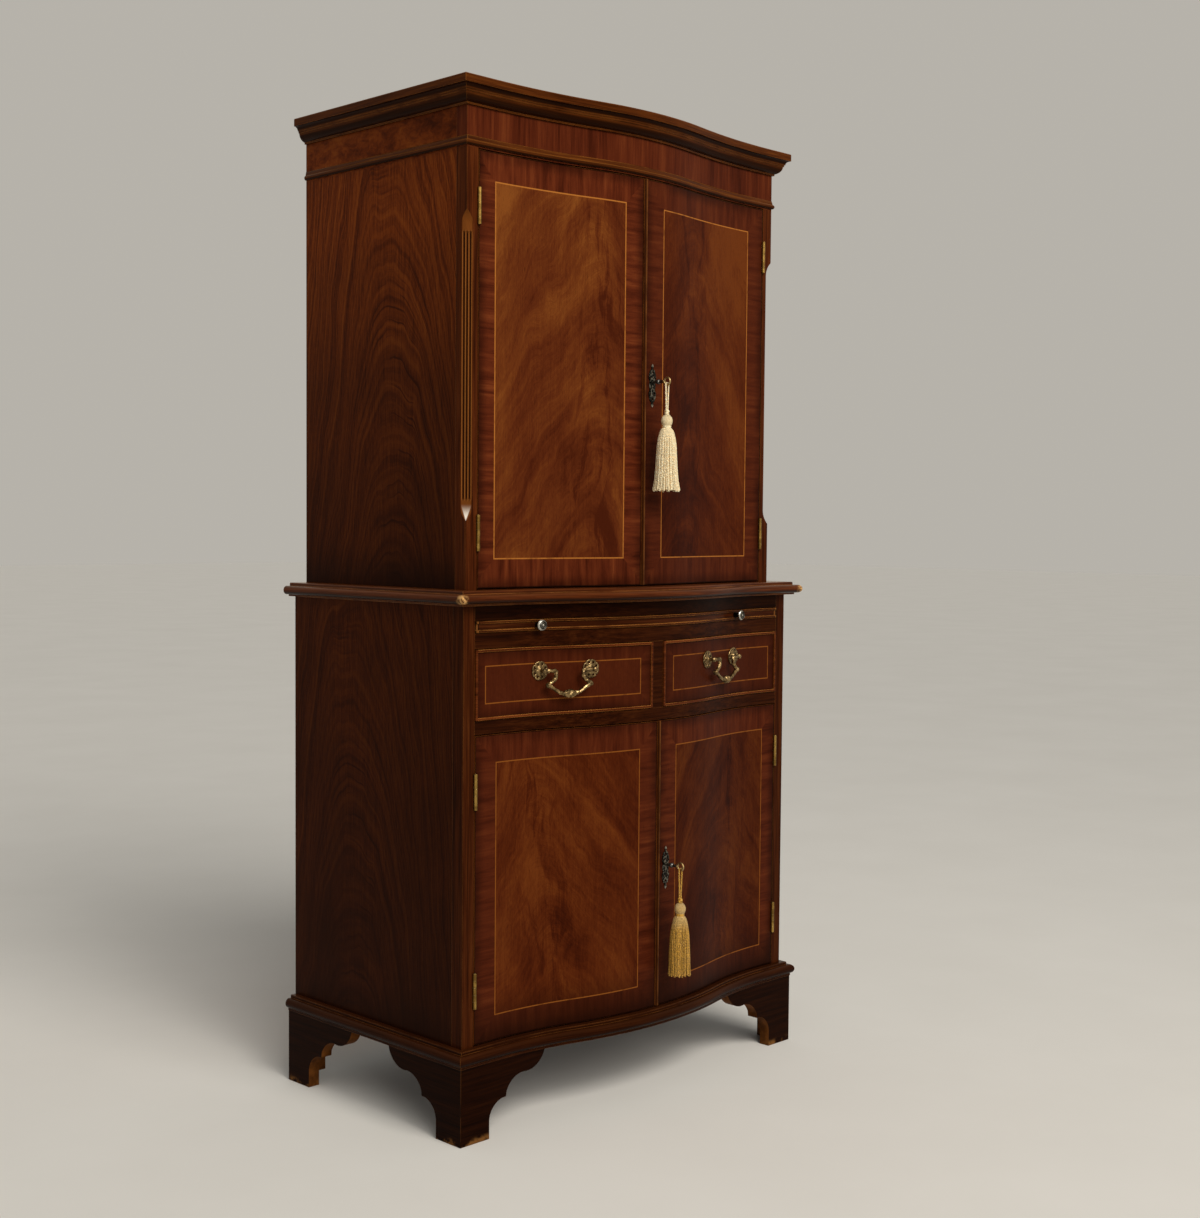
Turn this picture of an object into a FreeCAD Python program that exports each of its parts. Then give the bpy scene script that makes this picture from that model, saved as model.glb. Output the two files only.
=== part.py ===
"""A two-part bar cabinet with serpentine fronts, in millimetres.

X runs to the right across the front, Y from the front to the back and Z up. The origin lies on the floor,
midway between the cabinet's rear plane and the tips of its keys. Every solid is drawn in that frame.
"""
import FreeCAD, Part
import math
import os
import re

import Sketcher
from FreeCAD import Placement, Rotation, Vector

os.makedirs("parts", exist_ok=True)
doc = FreeCAD.newDocument("BarCabinet")

# Driving dimensions
SIZES = {
    # The two carcasses
    "lower_width": 751, "lower_depth": 424,
    "upper_width": 706.6, "upper_depth": 401.8,
    "foot_height": 117, "base_frame_height": 24.8, "lower_carcass_height": 663.2,
    "waist_board_height": 22.2, "upper_carcass_height": 740.8, "top_board_thickness": 12,
    # The serpentine fronts: a bow between two hollows
    "upper_bow_radius": 540, "upper_hollow_radius": 1015, "upper_bow_rise": 33.5,
    "lower_bow_radius": 607, "lower_hollow_radius": 554, "lower_bow_rise": 43,
    # Boards and posts
    "post_width": 22, "post_depth": 24, "back_thickness": 6,
    "frieze_height": 86, "ceiling_thickness": 20, "floor_thickness": 18,
    "carcass_top_thickness": 23, "slide_bed_thickness": 23.5, "dust_board_thickness": 20,
    "partition_thickness": 24, "slide_opening_height": 18.5, "drawer_opening_height": 108,
    # Canted and fluted corners
    "cant_leg": 12.6, "cant_top_below_frieze": 92, "cant_foot_above_waist": 103,
    "cant_stop_length": 24, "flute_radius": 2.1, "flute_pitch": 4.7, "flute_sink": 1.2,
    "flute_end_margin": 8,
    # Doors
    "door_thickness": 20, "door_gap": 2, "hinge_gap": 1.6, "meeting_gap": 1.6,
    "door_rest_gap": 0.3, "upper_meeting": -4, "lower_meeting": 5,
    "meeting_bead_width": 7.5, "meeting_bead_sink": 1.7,
    # Hinges
    "hinge_length": 54, "hinge_inset": 83, "knuckle_radius": 3, "knuckle_proud": 2.2,
    "knuckle_gap": 0.3, "knuckle_relief": 0.4, "pin_radius": 1.4, "pin_clearance": 0.05,
    "leaf_thickness": 1.1, "leaf_width": 15, "leaf_play": 0.4,
    # Cornice, bead, waist and base mouldings
    "cornice_height": 38, "cornice_reach": 24, "bead_height": 14, "bead_reach": 4,
    "bead_lift": 2, "waist_reach": 23.3, "waist_nose_height": 14,
    "waist_nose_roundness": 6.6, "waist_step_reach": 10.8, "waist_foot_height": 3,
    "waist_foot_reach": 13, "waist_step_roundness": 2, "base_reach": 19.2,
    "base_frame_width": 45,
    # Bracket feet
    "foot_reach": 13.6, "foot_length": 172, "foot_width": 57, "bracket_thickness": 20,
    "corner_block_width": 20, "rear_block_length": 44, "rear_block_set_back": 3,
    "corner_block_lift": 20,
    # Shelves
    "glass_thickness": 6, "shelf_thickness": 16, "shelf_set_back": 58, "shelf_end_gap": 0.8,
    "shelf_pin_radius": 3, "shelf_pin_reach": 8, "shelf_pin_hole_depth": 10,
    "shelf_pin_margin": 60, "upper_shelf_height": 318, "lower_shelf_height": 232,
    # Drawers
    "drawer_gap": 1, "drawer_front_thickness": 20, "cock_bead_width": 4,
    "cock_bead_proud": 2, "cock_bead_depth": 14, "drawer_side_thickness": 9,
    "drawer_side_height": 88, "drawer_back_thickness": 9, "drawer_bottom_thickness": 5,
    "drawer_bottom_lift": 8, "drawer_back_gap": 12, "running_gap": 0.3,
    "drawer_side_gap": 0.8,
    # Brushing slide
    "slide_board_thickness": 12, "slide_front_thickness": 16, "slide_end_gap": 0.8,
    "slide_back_gap": 40, "slide_bead_height": 3.4, "slide_bead_proud": 2.4,
    "slide_front_gap": 0.8, "knob_place": 233, "knob_radius": 8.5, "knob_reach": 17,
    "knob_neck_radius": 4, "knob_head_depth": 6,
    # Drawer handles
    "handle_centre": 183, "handle_spread": 90, "handle_lift": 16, "rose_radius": 14.4,
    "rose_thickness": 1.8, "rose_seat": 0.25, "rose_hole_radius": 2,
    "rose_hole_circle_radius": 10.2, "rose_notch_radius": 1.3, "rose_boss_radius": 7,
    "rose_boss_height": 3.4, "post_radius": 2.4, "post_reach": 13.4, "post_head_radius": 3.9,
    "bail_radius": 2.1, "bail_drop": 36, "bail_pin_radius": 1.5,
    "bail_pin_clearance": 0.1, "bail_pin_depth": 3, "bail_collar_gap": 0.4,
    "scroll_radius": 3.3, "leaf_half_length": 14, "leaf_half_height": 5.6,
    # Locks and keys
    "key_offset": 17.5, "upper_key_height": 1157, "lower_key_height": 374,
    "escutcheon_height": 70, "escutcheon_width": 17.5, "escutcheon_drop": 5.5,
    "escutcheon_thickness": 1.3, "escutcheon_seat": 0.15, "escutcheon_hole_radius": 1.5,
    "key_shaft_radius": 2.4,
    "key_hole_play": 0.3, "key_reach": 41, "key_bow_radius": 7.5, "key_wire_radius": 1.5,
    "key_collar_radius": 4.2, "key_collar_place": 14, "key_bit_radius": 7,
    "key_bit_thickness": 2.2, "key_bit_depth": 4, "key_bit_play": 1.2,
    "lock_case_height": 50, "lock_case_width": 30, "lock_case_depth": 12,
    "lock_wall": 1.5, "bolt_height": 24, "bolt_thickness": 3, "bolt_throw": 6,
    "bolt_play": 0.3, "bolt_arm": 4, "bolt_slot_depth": 7, "bolt_end_gap": 0.3,
    # Cords and tassels
    "cord_radius": 1.3, "cord_play": 0.5, "upper_cord_drop": 40, "lower_cord_drop": 45,
    "cord_foot_spread": 1.7, "cord_straight": 6, "cord_knee_reach": 3, "knot_height": 7,
    "knot_radius": 4.2, "knot_waist_radius": 3.6,
    "tassel_head_height": 21, "tassel_head_bend": 14.4, "tassel_neck_radius": 7,
    "tassel_shoulder_radius": 13.2, "tassel_shoulder_height": 13, "tassel_hip_radius": 17,
    "tassel_hip_height": 40, "upper_skirt_radius": 22.6, "lower_skirt_radius": 18.8,
    "upper_skirt_length": 104, "lower_skirt_length": 99,
    # Drawing aids
    "overrun": 4, "mitre_span": 140, "edge_tolerance": 0.01,
}

# Outlines as shares of the piece that carries them
# Cornice section: share of its reach, share of its height
CORNICE_SHARES = [
    (0, 0), (0.14, 0), (0.14, 0.07), (0.58, 0.42), (0.64, 0.42), (0.64, 0.50), (0.70, 0.50),
    (0.97, 0.68), (1, 0.68), (1, 0.97), (0.965, 1), (0, 1)]
# Bends of the cornice: which corner starts each, radius as a share of the reach, and side
CORNICE_BEND_SHARES = {2: (0.60, 1), 6: (0.29, -1)}
# Bead section: share of its reach, share of its height
BEAD_SHARES = [(0, 0), (0.42, 0), (0.42, 0.55), (0.08, 1), (0, 1)]
BEAD_NOSE_SHARE = 0.31
# Base frame section: share of its reach, share of its height
BASE_SHARES = [(0.76, 0), (0.76, 0.16), (0.76, 0.80), (0.5, 0.80), (0.5, 0.97), (0.45, 1)]
BASE_TORUS_SHARE = 0.34
# Foot outline: share of its length, share of its height, and bend radius as a share of its height
FOOT_SHARES = [
    (0.331, 0, None), (0.331, 0.25, (0.27, -1)), (0.529, 0.487, None), (0.535, 0.56, (0.31, -1)),
    (0.767, 0.744, (0.33, 1)), (1, 1, None)]
# Escutcheon, right half: share of its half width, share of its half height
ESCUTCHEON_SHARES = [
    (0, -1), (0.28, -0.90), (0.20, -0.76), (0.62, -0.70), (0.86, -0.54), (1, -0.34), (0.70, -0.20),
    (0.90, 0), (0.70, 0.20), (1, 0.34), (0.86, 0.54), (0.62, 0.70), (0.20, 0.76), (0.28, 0.90), (0, 1)]
# Piercings of the escutcheon: share of its half width, share of its half height
PIERCING_SHARES = [(0.52, 0.38), (-0.52, 0.38), (0.52, -0.38), (-0.52, -0.38), (0, 0.62), (0, -0.62)]
# Bail: share of half its span, share of its drop, from the pin to the middle
BAIL_SHARES = [(0.52, 0), (0.56, -0.36), (0.84, -0.60), (0.36, -0.97), (0.12, -1)]
BAIL_BEND_SHARES = [0.30, 0.42, 0.20, 0.42]
KNOB_SHARES = [(0.62, 0), (1, 0.30), (1, 0.62), (0.72, 1), (0.56, 0.84), (0.20, 1), (0, 1)]
ROSE_HOLES = 8

sheet = doc.addObject("Spreadsheet::Sheet", "Sizes")
places = doc.addObject("Spreadsheet::Sheet", "Places")
holder = {}


def fill_sizes():
    """Writes each driving dimension in a row of its own, with its name as the alias."""
    for row, (alias, value) in enumerate(SIZES.items(), 1):
        sheet.set(f"A{row}", alias)
        sheet.set(f"B{row}", str(value))
        sheet.setAlias(f"B{row}", alias)
        holder[alias] = "Sizes."


def full(text):
    """Spells out which sheet each name in an expression stands in."""
    return re.sub(r"[a-z_]\w*", lambda word: holder.get(word[0], "") + word[0], str(text))


def place(alias, text):
    """Keeps a length that follows from the driving dimensions."""
    row = len([name for name in holder.values() if name == "Places."]) + 1
    places.set(f"A{row}", alias)
    places.set(f"B{row}", "=" + full(text))
    places.setAlias(f"B{row}", alias)
    holder[alias] = "Places."


def number(text):
    """The present value of an expression."""
    return float(sheet.evalExpression(full(text)))


fill_sizes()
doc.recompute()

# Levels, from the floor up
place("lower_bottom", "foot_height + base_frame_height")
place("lower_top", "lower_bottom + lower_carcass_height")
place("upper_bottom", "lower_top + waist_board_height")
place("upper_top", "upper_bottom + upper_carcass_height")
place("cabinet_top", "upper_top + top_board_thickness")
place("frieze_bottom", "upper_top - frieze_height")
place("slide_top", "lower_top - carcass_top_thickness")
place("slide_bottom", "slide_top - slide_opening_height")
place("bed_bottom", "slide_bottom - slide_bed_thickness")
place("drawer_bottom", "bed_bottom - drawer_opening_height")
place("dust_bottom", "drawer_bottom - dust_board_thickness")
place("upper_door_bottom", "upper_bottom + door_gap")
place("upper_door_top", "frieze_bottom - door_gap")
place("lower_door_bottom", "lower_bottom + door_gap")
place("lower_door_top", "dust_bottom - door_gap")
place("upper_floor", "upper_bottom + floor_thickness")
place("lower_floor", "lower_bottom + floor_thickness")
place("ceiling_bottom", "frieze_bottom - ceiling_thickness")
place("handle_height", "drawer_bottom + drawer_opening_height / 2 + handle_lift")
place("knob_height", "slide_bottom + slide_opening_height / 2")

# Planes from front to back
place("rear", "(lower_depth + lower_bow_rise + key_reach) / 2")
place("rear_inside", "rear - back_thickness")
for case in ("upper", "lower"):
    place(f"{case}_front", f"rear - {case}_depth")
    place(f"{case}_half", f"{case}_width / 2")
    place(f"{case}_inside", f"{case}_half - post_width")
    place(f"{case}_turn", f"{case}_bow_rise / ({case}_bow_radius + {case}_hollow_radius)")
    place(f"{case}_cosine", f"1 - {case}_turn")
    place(f"{case}_sine", f"sqrt({case}_turn * (2 - {case}_turn))")
    place(f"{case}_hollow_end", f"({case}_bow_radius + {case}_hollow_radius) * {case}_sine")
    place(f"{case}_bow_centre", f"{case}_front - {case}_bow_rise + {case}_bow_radius")
    place(f"{case}_hollow_centre", f"{case}_front - {case}_hollow_radius")
    place(f"{case}_crown", f"{case}_front - {case}_bow_rise")
    place(f"{case}_hinge_x", f"{case}_inside - hinge_gap / 2")
    place(f"{case}_hinge_y", f"{case}_front - knuckle_proud")
    place(f"{case}_bead_left", f"{case}_meeting - meeting_bead_width / 2")
    place(f"{case}_key_place", f"{case}_meeting + key_offset")
    place(f"{case}_key_y", f"{case}_bow_centre - sqrt({case}_bow_radius^2 - {case}_key_place^2)")
    place(f"{case}_ring_y", f"{case}_crown - key_reach + key_bow_radius")
place("drawer_inner", "partition_thickness / 2 + drawer_gap")
place("drawer_outer", "lower_inside - drawer_gap")
place("ring_drop", "key_bow_radius - key_wire_radius")
doc.recompute()


# Tools for drawing
def plane_of(body, role):
    """One of a body's own origin planes."""
    return next(item for item in body.Origin.OriginFeatures if item.Role == role)


def new_body(label):
    """An empty body with its label."""
    body = doc.addObject("PartDesign::Body", label)
    body.Label = label
    return body


def bind(item, path, text):
    """Ties a property to the sheets."""
    item.setExpression(path, full(text))


def put(item, x="0", y="0", z="0"):
    """Ties an object's place to the sheets."""
    for axis, text in (("x", x), ("y", y), ("z", z)):
        if text != "0":
            bind(item, f"Placement.Base.{axis}", text)
    return item


def sketch_on(body, label, role, lift=None):
    """A sketch on one of the body's planes, lifted along the plane's normal."""
    sketch = body.newObject("Sketcher::SketchObject", label)
    sketch.AttachmentSupport = [(plane_of(body, role), "")]
    sketch.MapMode = "FlatFace"
    if lift:
        bind(sketch, "AttachmentOffset.Base.z", lift)
    return sketch


def draw(sketch, corners, closed=True):
    """Draws lines and arcs through corners (x, y, bend), each tied to the sheets.

    A bend is None for a straight edge to the next corner, or (radius, side) for an arc whose centre lies on
    the left (1) or on the right (-1) of the way to it.
    """
    spots = [Vector(number(x), number(y), 0) for x, y, bend in corners]
    edges = []
    rules = []
    bound = []
    total = len(corners) if closed else len(corners[1:])
    for index in range(total):
        here = spots[index]
        there = spots[(index + 1) % len(spots)]
        bend = corners[index][2]
        if bend is None:
            edges.append((sketch.addGeometry(Part.LineSegment(here, there), False), 1, 2))
            continue
        radius = number(bend[0])
        chord = there - here
        across = Vector(-chord.y, chord.x, 0).normalize()
        rise = math.sqrt(radius ** 2 - (chord.Length / 2) ** 2)
        centre = (here + there) / 2 + across * rise * bend[1]
        start = math.atan2(here.y - centre.y, here.x - centre.x)
        end = math.atan2(there.y - centre.y, there.x - centre.x)
        circle = Part.Circle(centre, Vector(0, 0, 1), radius)
        if bend[1] > 0:
            edges.append((sketch.addGeometry(Part.ArcOfCircle(circle, start, end), False), 1, 2))
        else:
            edges.append((sketch.addGeometry(Part.ArcOfCircle(circle, end, start), False), 2, 1))
        rules.append(Sketcher.Constraint("Radius", edges[-1][0], radius))
        bound.append(bend[0])
    for index in range(total - 1 + closed):
        edge, start, end = edges[index]
        other = edges[(index + 1) % total]
        rules.append(Sketcher.Constraint("Coincident", edge, end, other[0], other[1]))
        bound.append(None)
    ends = [(edge, start) for edge, start, end in edges]
    if not closed:
        ends.append((edges[-1][0], edges[-1][2]))
    for (edge, point), spot, corner in zip(ends, spots, corners):
        for kind, axis, value, text in (("DistanceX", -2, spot.x, corner[0]), ("DistanceY", -1, spot.y, corner[1])):
            if str(text) == "0":
                rules.append(Sketcher.Constraint("PointOnObject", edge, point, axis))
                bound.append(None)
            else:
                rules.append(Sketcher.Constraint(kind, -1, 1, edge, point, value))
                bound.append(text)
    first = sketch.ConstraintCount
    sketch.addConstraint(rules)
    for offset, text in enumerate(bound):
        if text is not None:
            name = f"size{first + offset}"
            sketch.renameConstraint(first + offset, name)
            bind(sketch, f"Constraints.{name}", text)
    return sketch


def ring(sketch, x, y, radius):
    """Draws a circle tied to the sheets."""
    edge = sketch.addGeometry(Part.Circle(Vector(number(x), number(y), 0), Vector(0, 0, 1), number(radius)), False)
    first = sketch.ConstraintCount
    rules = [("DistanceX", -2, number(x), x), ("DistanceY", -1, number(y), y)]
    for kind, axis, value, text in rules:
        if str(text) == "0":
            sketch.addConstraint(Sketcher.Constraint("PointOnObject", edge, 3, axis))
        else:
            sketch.addConstraint(Sketcher.Constraint(kind, -1, 1, edge, 3, value))
    sketch.addConstraint(Sketcher.Constraint("Radius", edge, number(radius)))
    for offset, text in enumerate((x, y, radius)):
        if str(text) != "0":
            name = f"size{first + offset}"
            sketch.renameConstraint(first + offset, name)
            bind(sketch, f"Constraints.{name}", text)
    return sketch


def pad(body, sketch, length, both_ways=False):
    """Thickens a sketch along its normal."""
    feature = body.newObject("PartDesign::Pad", sketch.Label + "_pad")
    feature.Profile = sketch
    bind(feature, "Length", length)
    feature.Midplane = both_ways
    return feature


def pocket(body, sketch, length):
    """Cuts a sketch both ways from its plane."""
    feature = body.newObject("PartDesign::Pocket", sketch.Label + "_pocket")
    feature.Profile = sketch
    bind(feature, "Length", length)
    feature.Midplane = True
    return feature


def turn(body, sketch, axis="V_Axis"):
    """Turns a sketch once round one of its axes."""
    feature = body.newObject("PartDesign::Revolution", sketch.Label + "_turned")
    feature.Profile = sketch
    feature.ReferenceAxis = (sketch, [axis])
    feature.Angle = 360
    return feature


def box(label, low, high):
    """A board between two corners."""
    item = doc.addObject("Part::Box", label)
    item.Label = label
    for side, start, end in zip(("Length", "Width", "Height"), low, high):
        bind(item, side, f"({end}) - ({start})")
    return put(item, *low)


TURNS = {"x": Rotation(Vector(0, 1, 0), 90), "y": Rotation(Vector(1, 0, 0), -90), "z": Rotation()}


def rod(label, start, axis, radius, length):
    """A round bar from a point along an axis."""
    item = doc.addObject("Part::Cylinder", label)
    item.Label = label
    bind(item, "Radius", radius)
    bind(item, "Height", length)
    item.Placement = Placement(Vector(), TURNS[axis])
    return put(item, *start)


def ball(label, centre, radius):
    """A ball round a point."""
    item = doc.addObject("Part::Sphere", label)
    item.Label = label
    bind(item, "Radius", radius)
    return put(item, *centre)


def fuse(label, pieces):
    """One solid from several."""
    item = doc.addObject("Part::MultiFuse", label)
    item.Label = label
    item.Shapes = pieces
    return item


def cut(label, base, tools):
    """A solid less others."""
    item = doc.addObject("Part::Cut", label)
    item.Label = label
    item.Base = base
    item.Tool = tools[0] if len(tools) == 1 else fuse(label + "_cutters", tools)
    return item


def group(label, pieces):
    """Separate solids under one name."""
    item = doc.addObject("Part::Compound", label)
    item.Label = label
    item.Links = pieces
    return item


def mirrored(label, source):
    """The same piece on the other side of the middle plane."""
    item = doc.addObject("Part::Mirroring", label)
    item.Label = label
    item.Source = source
    item.Normal = (1, 0, 0)
    return item


def again(label, source, x="0", y="0", z="0", angle="0"):
    """The same piece at another place, turned about the upright."""
    item = doc.addObject("App::Link", label)
    item.Label = label
    item.LinkedObject = source
    if angle != "0":
        item.Placement = Placement(Vector(), Rotation(Vector(0, 0, 1), number(angle)))
        bind(item, "Placement.Rotation.Angle", angle)
    return put(item, x, y, z)


# Serpentine outlines
def surface_y(case, x, proud="0"):
    """Where a serpentine front stands at x."""
    bow = f"({case}_bow_radius + {proud})"
    hollow = f"({case}_hollow_radius - {proud})"
    spot = abs(number(x))
    if spot <= number(f"{case}_sine * {bow}"):
        return f"({case}_bow_centre - sqrt({bow}^2 - ({x})^2))"
    if spot < number(f"{case}_hollow_end"):
        return f"({case}_hollow_centre + sqrt({hollow}^2 - ({case}_hollow_end - abs({x}))^2))"
    return f"({case}_front - {proud})"


def surface_slope(case, x):
    """How far a serpentine front has turned at x, in degrees, for x above zero."""
    if number(x) <= number(f"{case}_sine * {case}_bow_radius"):
        return f"asin({x} / {case}_bow_radius) / 1deg"
    return f"asin(({case}_hollow_end - {x}) / {case}_hollow_radius) / 1deg"


def front_run(case, low, high, proud="0"):
    """The corners of a serpentine front from x = low to x = high, standing proud of the carcass."""
    bow = f"({case}_bow_radius + {proud})"
    hollow = f"({case}_hollow_radius - {proud})"
    inflection_y = f"{case}_bow_centre - {case}_cosine * {bow}"
    turns = [
        (f"-{case}_hollow_end", f"{case}_front - {proud}", (hollow, -1)),
        (f"-{case}_sine * {bow}", inflection_y, (bow, 1)),
        (f"{case}_sine * {bow}", inflection_y, (hollow, -1)),
        (f"{case}_hollow_end", f"{case}_front - {proud}", None)]
    bend = None
    run = []
    for x, y, following in turns:
        if number(x) <= number(low):
            bend = following
        elif number(x) < number(high):
            run.append((x, y, following))
    return [(low, surface_y(case, low, proud), bend)] + run + [(high, surface_y(case, high, proud), None)]


def backwards(run):
    """The same corners walked the other way."""
    bends = [bend if bend is None else (bend[0], -bend[1]) for x, y, bend in run]
    return [(x, y, bend) for (x, y, old), bend in zip(run[::-1], bends[-2::-1] + [None])]


def strip(case, low, high, outer, inner):
    """A serpentine strip between two parallel fronts."""
    return front_run(case, low, high, outer) + backwards(front_run(case, low, high, inner))


def board(case, low, high, proud, back):
    """A board with a serpentine front and a straight back."""
    return front_run(case, low, high, proud) + [(high, back, None), (low, back, None)]


def shaped(label, corners, bottom, height):
    """An upright solid on a plan outline."""
    body = put(new_body(label), z=bottom)
    pad(body, draw(sketch_on(body, label + "_plan", "XY_Plane"), corners), height)
    return body


# Carcass boards
def make_sides(case, top):
    """Side boards with holes for the shelf pins, and their mirror images."""
    left = box(f"{case}_left_side_board", (f"-{case}_half", f"{case}_front + post_depth", f"{case}_bottom"),
               (f"-{case}_inside", "rear", top))
    holes = [rod(f"{case}_pin_hole_{index}", (f"-{case}_inside - shelf_pin_hole_depth", y, pin_level(case)),
                 "x", "shelf_pin_radius", "shelf_pin_hole_depth")
             for index, y in enumerate(pin_depths(case))]
    side = cut(f"{case}_left_side", left, holes)
    return [side, mirrored(f"{case}_right_side", side)]


def pin_level(case):
    """The height of the shelf pins' middle line."""
    return f"{case}_floor + {case}_shelf_height - shelf_pin_radius"


def pin_depths(case):
    """How far back the front and rear shelf pins stand."""
    return (f"{case}_front + shelf_set_back + shelf_pin_margin", "rear_inside - shelf_pin_margin")


def make_posts():
    """Upper posts with a canted and fluted corner, and plain lower stiles."""
    post = put(new_body("upper_left_post_blank"), "-upper_half", "upper_front", "upper_bottom")
    plan = sketch_on(post, "post_plan", "XY_Plane")
    draw(plan, [("0", "0", None), ("post_width", "0", None), ("post_width", "post_depth", None),
                ("0", "post_depth", None)])
    pad(post, plan, "frieze_bottom - upper_bottom")
    post_top = "(frieze_bottom - upper_bottom)"
    cant = new_body("cant_cutter")
    cant.Placement = Placement(Vector(), Rotation(Vector(0, 0, 1), 45))
    put(cant, "-upper_half", "upper_front", "upper_bottom")
    side = sketch_on(cant, "cant_side", "XZ_Plane")
    depth = "cant_leg / sqrt(2)"
    stop = "((cant_stop_length^2 + (cant_leg^2) / 2) / (2 * cant_leg / sqrt(2)))"
    low = "cant_foot_above_waist"
    high = f"{post_top} - cant_top_below_frieze"
    draw(side, [("0", low, (stop, 1)), (depth, f"{low} + cant_stop_length", None),
                (depth, f"{high} - cant_stop_length", (stop, 1)), ("0", high, None),
                ("-overrun", high, None), ("-overrun", low, None)])
    pad(cant, side, "2 * cant_leg", True)
    flutes = []
    for index, step in enumerate(("-flute_pitch", "0", "flute_pitch")):
        shift = f"({depth} + flute_sink - flute_radius) / sqrt(2)"
        across = f"({step}) / sqrt(2)"
        flutes.append(rod(f"flute_{index}", (f"-upper_half + {shift} + {across}",
                                             f"upper_front + {shift} - {across}",
                                             f"upper_bottom + {low} + cant_stop_length + flute_end_margin"),
                          "z", "flute_radius",
                          f"({high}) - {low} - 2 * (cant_stop_length + flute_end_margin)"))
    cutters = [cant] + flutes + hinge_seats("upper", "post")
    upper = cut("upper_left_post", post, cutters)
    stile = box("lower_left_stile_blank", ("-lower_half", "lower_front", "lower_bottom"),
                ("-lower_inside", "lower_front + post_depth", "lower_top"))
    lower = cut("lower_left_stile", stile, hinge_seats("lower", "post"))
    return [group("upper_posts", [upper, mirrored("upper_right_post", upper)]),
            group("lower_stiles", [lower, mirrored("lower_right_stile", lower)])]


def hinge_levels(case):
    """Heights of a door's two hinges."""
    return (f"{case}_door_bottom + hinge_inset", f"{case}_door_top - hinge_inset")


def hinge_seats(case, side):
    """Recesses for the hinges of the left-hand door: in the post, or in the door."""
    seats = []
    play = "leaf_play / 2"
    for index, level in enumerate(hinge_levels(case)):
        name = f"{case}_{side}_seat_{index}"
        low = f"{level} - hinge_length / 2"
        seats.append(rod(name + "_barrel", (f"-{case}_hinge_x", f"{case}_hinge_y", f"{low} - knuckle_relief"),
                         "z", "knuckle_radius + knuckle_relief", "hinge_length + 2 * knuckle_relief"))
        reach = (f"-{case}_hinge_x - {play} - leaf_thickness", f"-{case}_hinge_x - {play}")
        if side == "door":
            reach = (f"-{case}_hinge_x + {play}", f"-{case}_hinge_x + {play} + leaf_thickness")
        seats.append(box(name + "_leaf", (reach[0], f"{case}_front - overrun", low),
                         (reach[1], f"{case}_front + leaf_width", f"{low} + hinge_length")))
    return seats


def make_boards():
    """The level boards of both carcasses, the partition, the frieze rail and the backs."""
    behind_doors = "-(door_thickness + door_rest_gap)"
    pieces = []
    for case in ("upper", "lower"):
        span = (f"-{case}_inside", f"{case}_inside")
        pieces.append(shaped(f"{case}_bottom_board", board(case, *span, behind_doors, "rear_inside"),
                             f"{case}_bottom", "floor_thickness"))
    pieces.append(shaped("ceiling_board", board("upper", "-upper_inside", "upper_inside", behind_doors,
                                                "rear_inside"), "ceiling_bottom", "ceiling_thickness"))
    pieces.append(shaped("frieze_rail", strip("upper", "-upper_half", "upper_half", "0", "-post_depth"),
                         "frieze_bottom", "frieze_height"))
    pieces.append(shaped("top_board", board("upper", "-upper_half", "upper_half", "0", "rear"),
                         "upper_top", "top_board_thickness"))
    lower_span = ("-lower_inside", "lower_inside")
    for label, bottom, height in (("carcass_top_board", "slide_top", "carcass_top_thickness"),
                                  ("slide_bed", "bed_bottom", "slide_bed_thickness"),
                                  ("dust_board", "dust_bottom", "dust_board_thickness")):
        pieces.append(shaped(label, board("lower", *lower_span, "0", "rear_inside"), bottom, height))
    pieces.append(shaped("drawer_partition",
                         board("lower", "-partition_thickness / 2", "partition_thickness / 2", "0",
                               "rear_inside"), "drawer_bottom", "drawer_opening_height"))
    for case in ("upper", "lower"):
        pieces.append(box(f"{case}_back", (f"-{case}_inside", "rear_inside", f"{case}_bottom"),
                          (f"{case}_inside", "rear", f"{case}_top")))
    return pieces


def make_shelves():
    """A glass shelf above and a wooden shelf below, each on four pins."""
    pieces = []
    pins = []
    for case, label, thickness in (("upper", "glass_shelf", "glass_thickness"),
                                   ("lower", "lower_shelf", "shelf_thickness")):
        reach = f"{case}_inside - shelf_end_gap"
        pieces.append(shaped(label, board(case, f"-({reach})", reach, "-(shelf_set_back)",
                                          "rear_inside - shelf_end_gap"),
                             f"{case}_floor + {case}_shelf_height", thickness))
        for index, y in enumerate(pin_depths(case)):
            pins.append(rod(f"{case}_left_pin_{index}",
                            (f"-{case}_inside - shelf_pin_hole_depth", y, pin_level(case)), "x",
                            "shelf_pin_radius", "shelf_pin_hole_depth + shelf_pin_reach"))
            pins.append(mirrored(f"{case}_right_pin_{index}", pins[-1]))
    return pieces + [group("shelf_pins", pins)]


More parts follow.
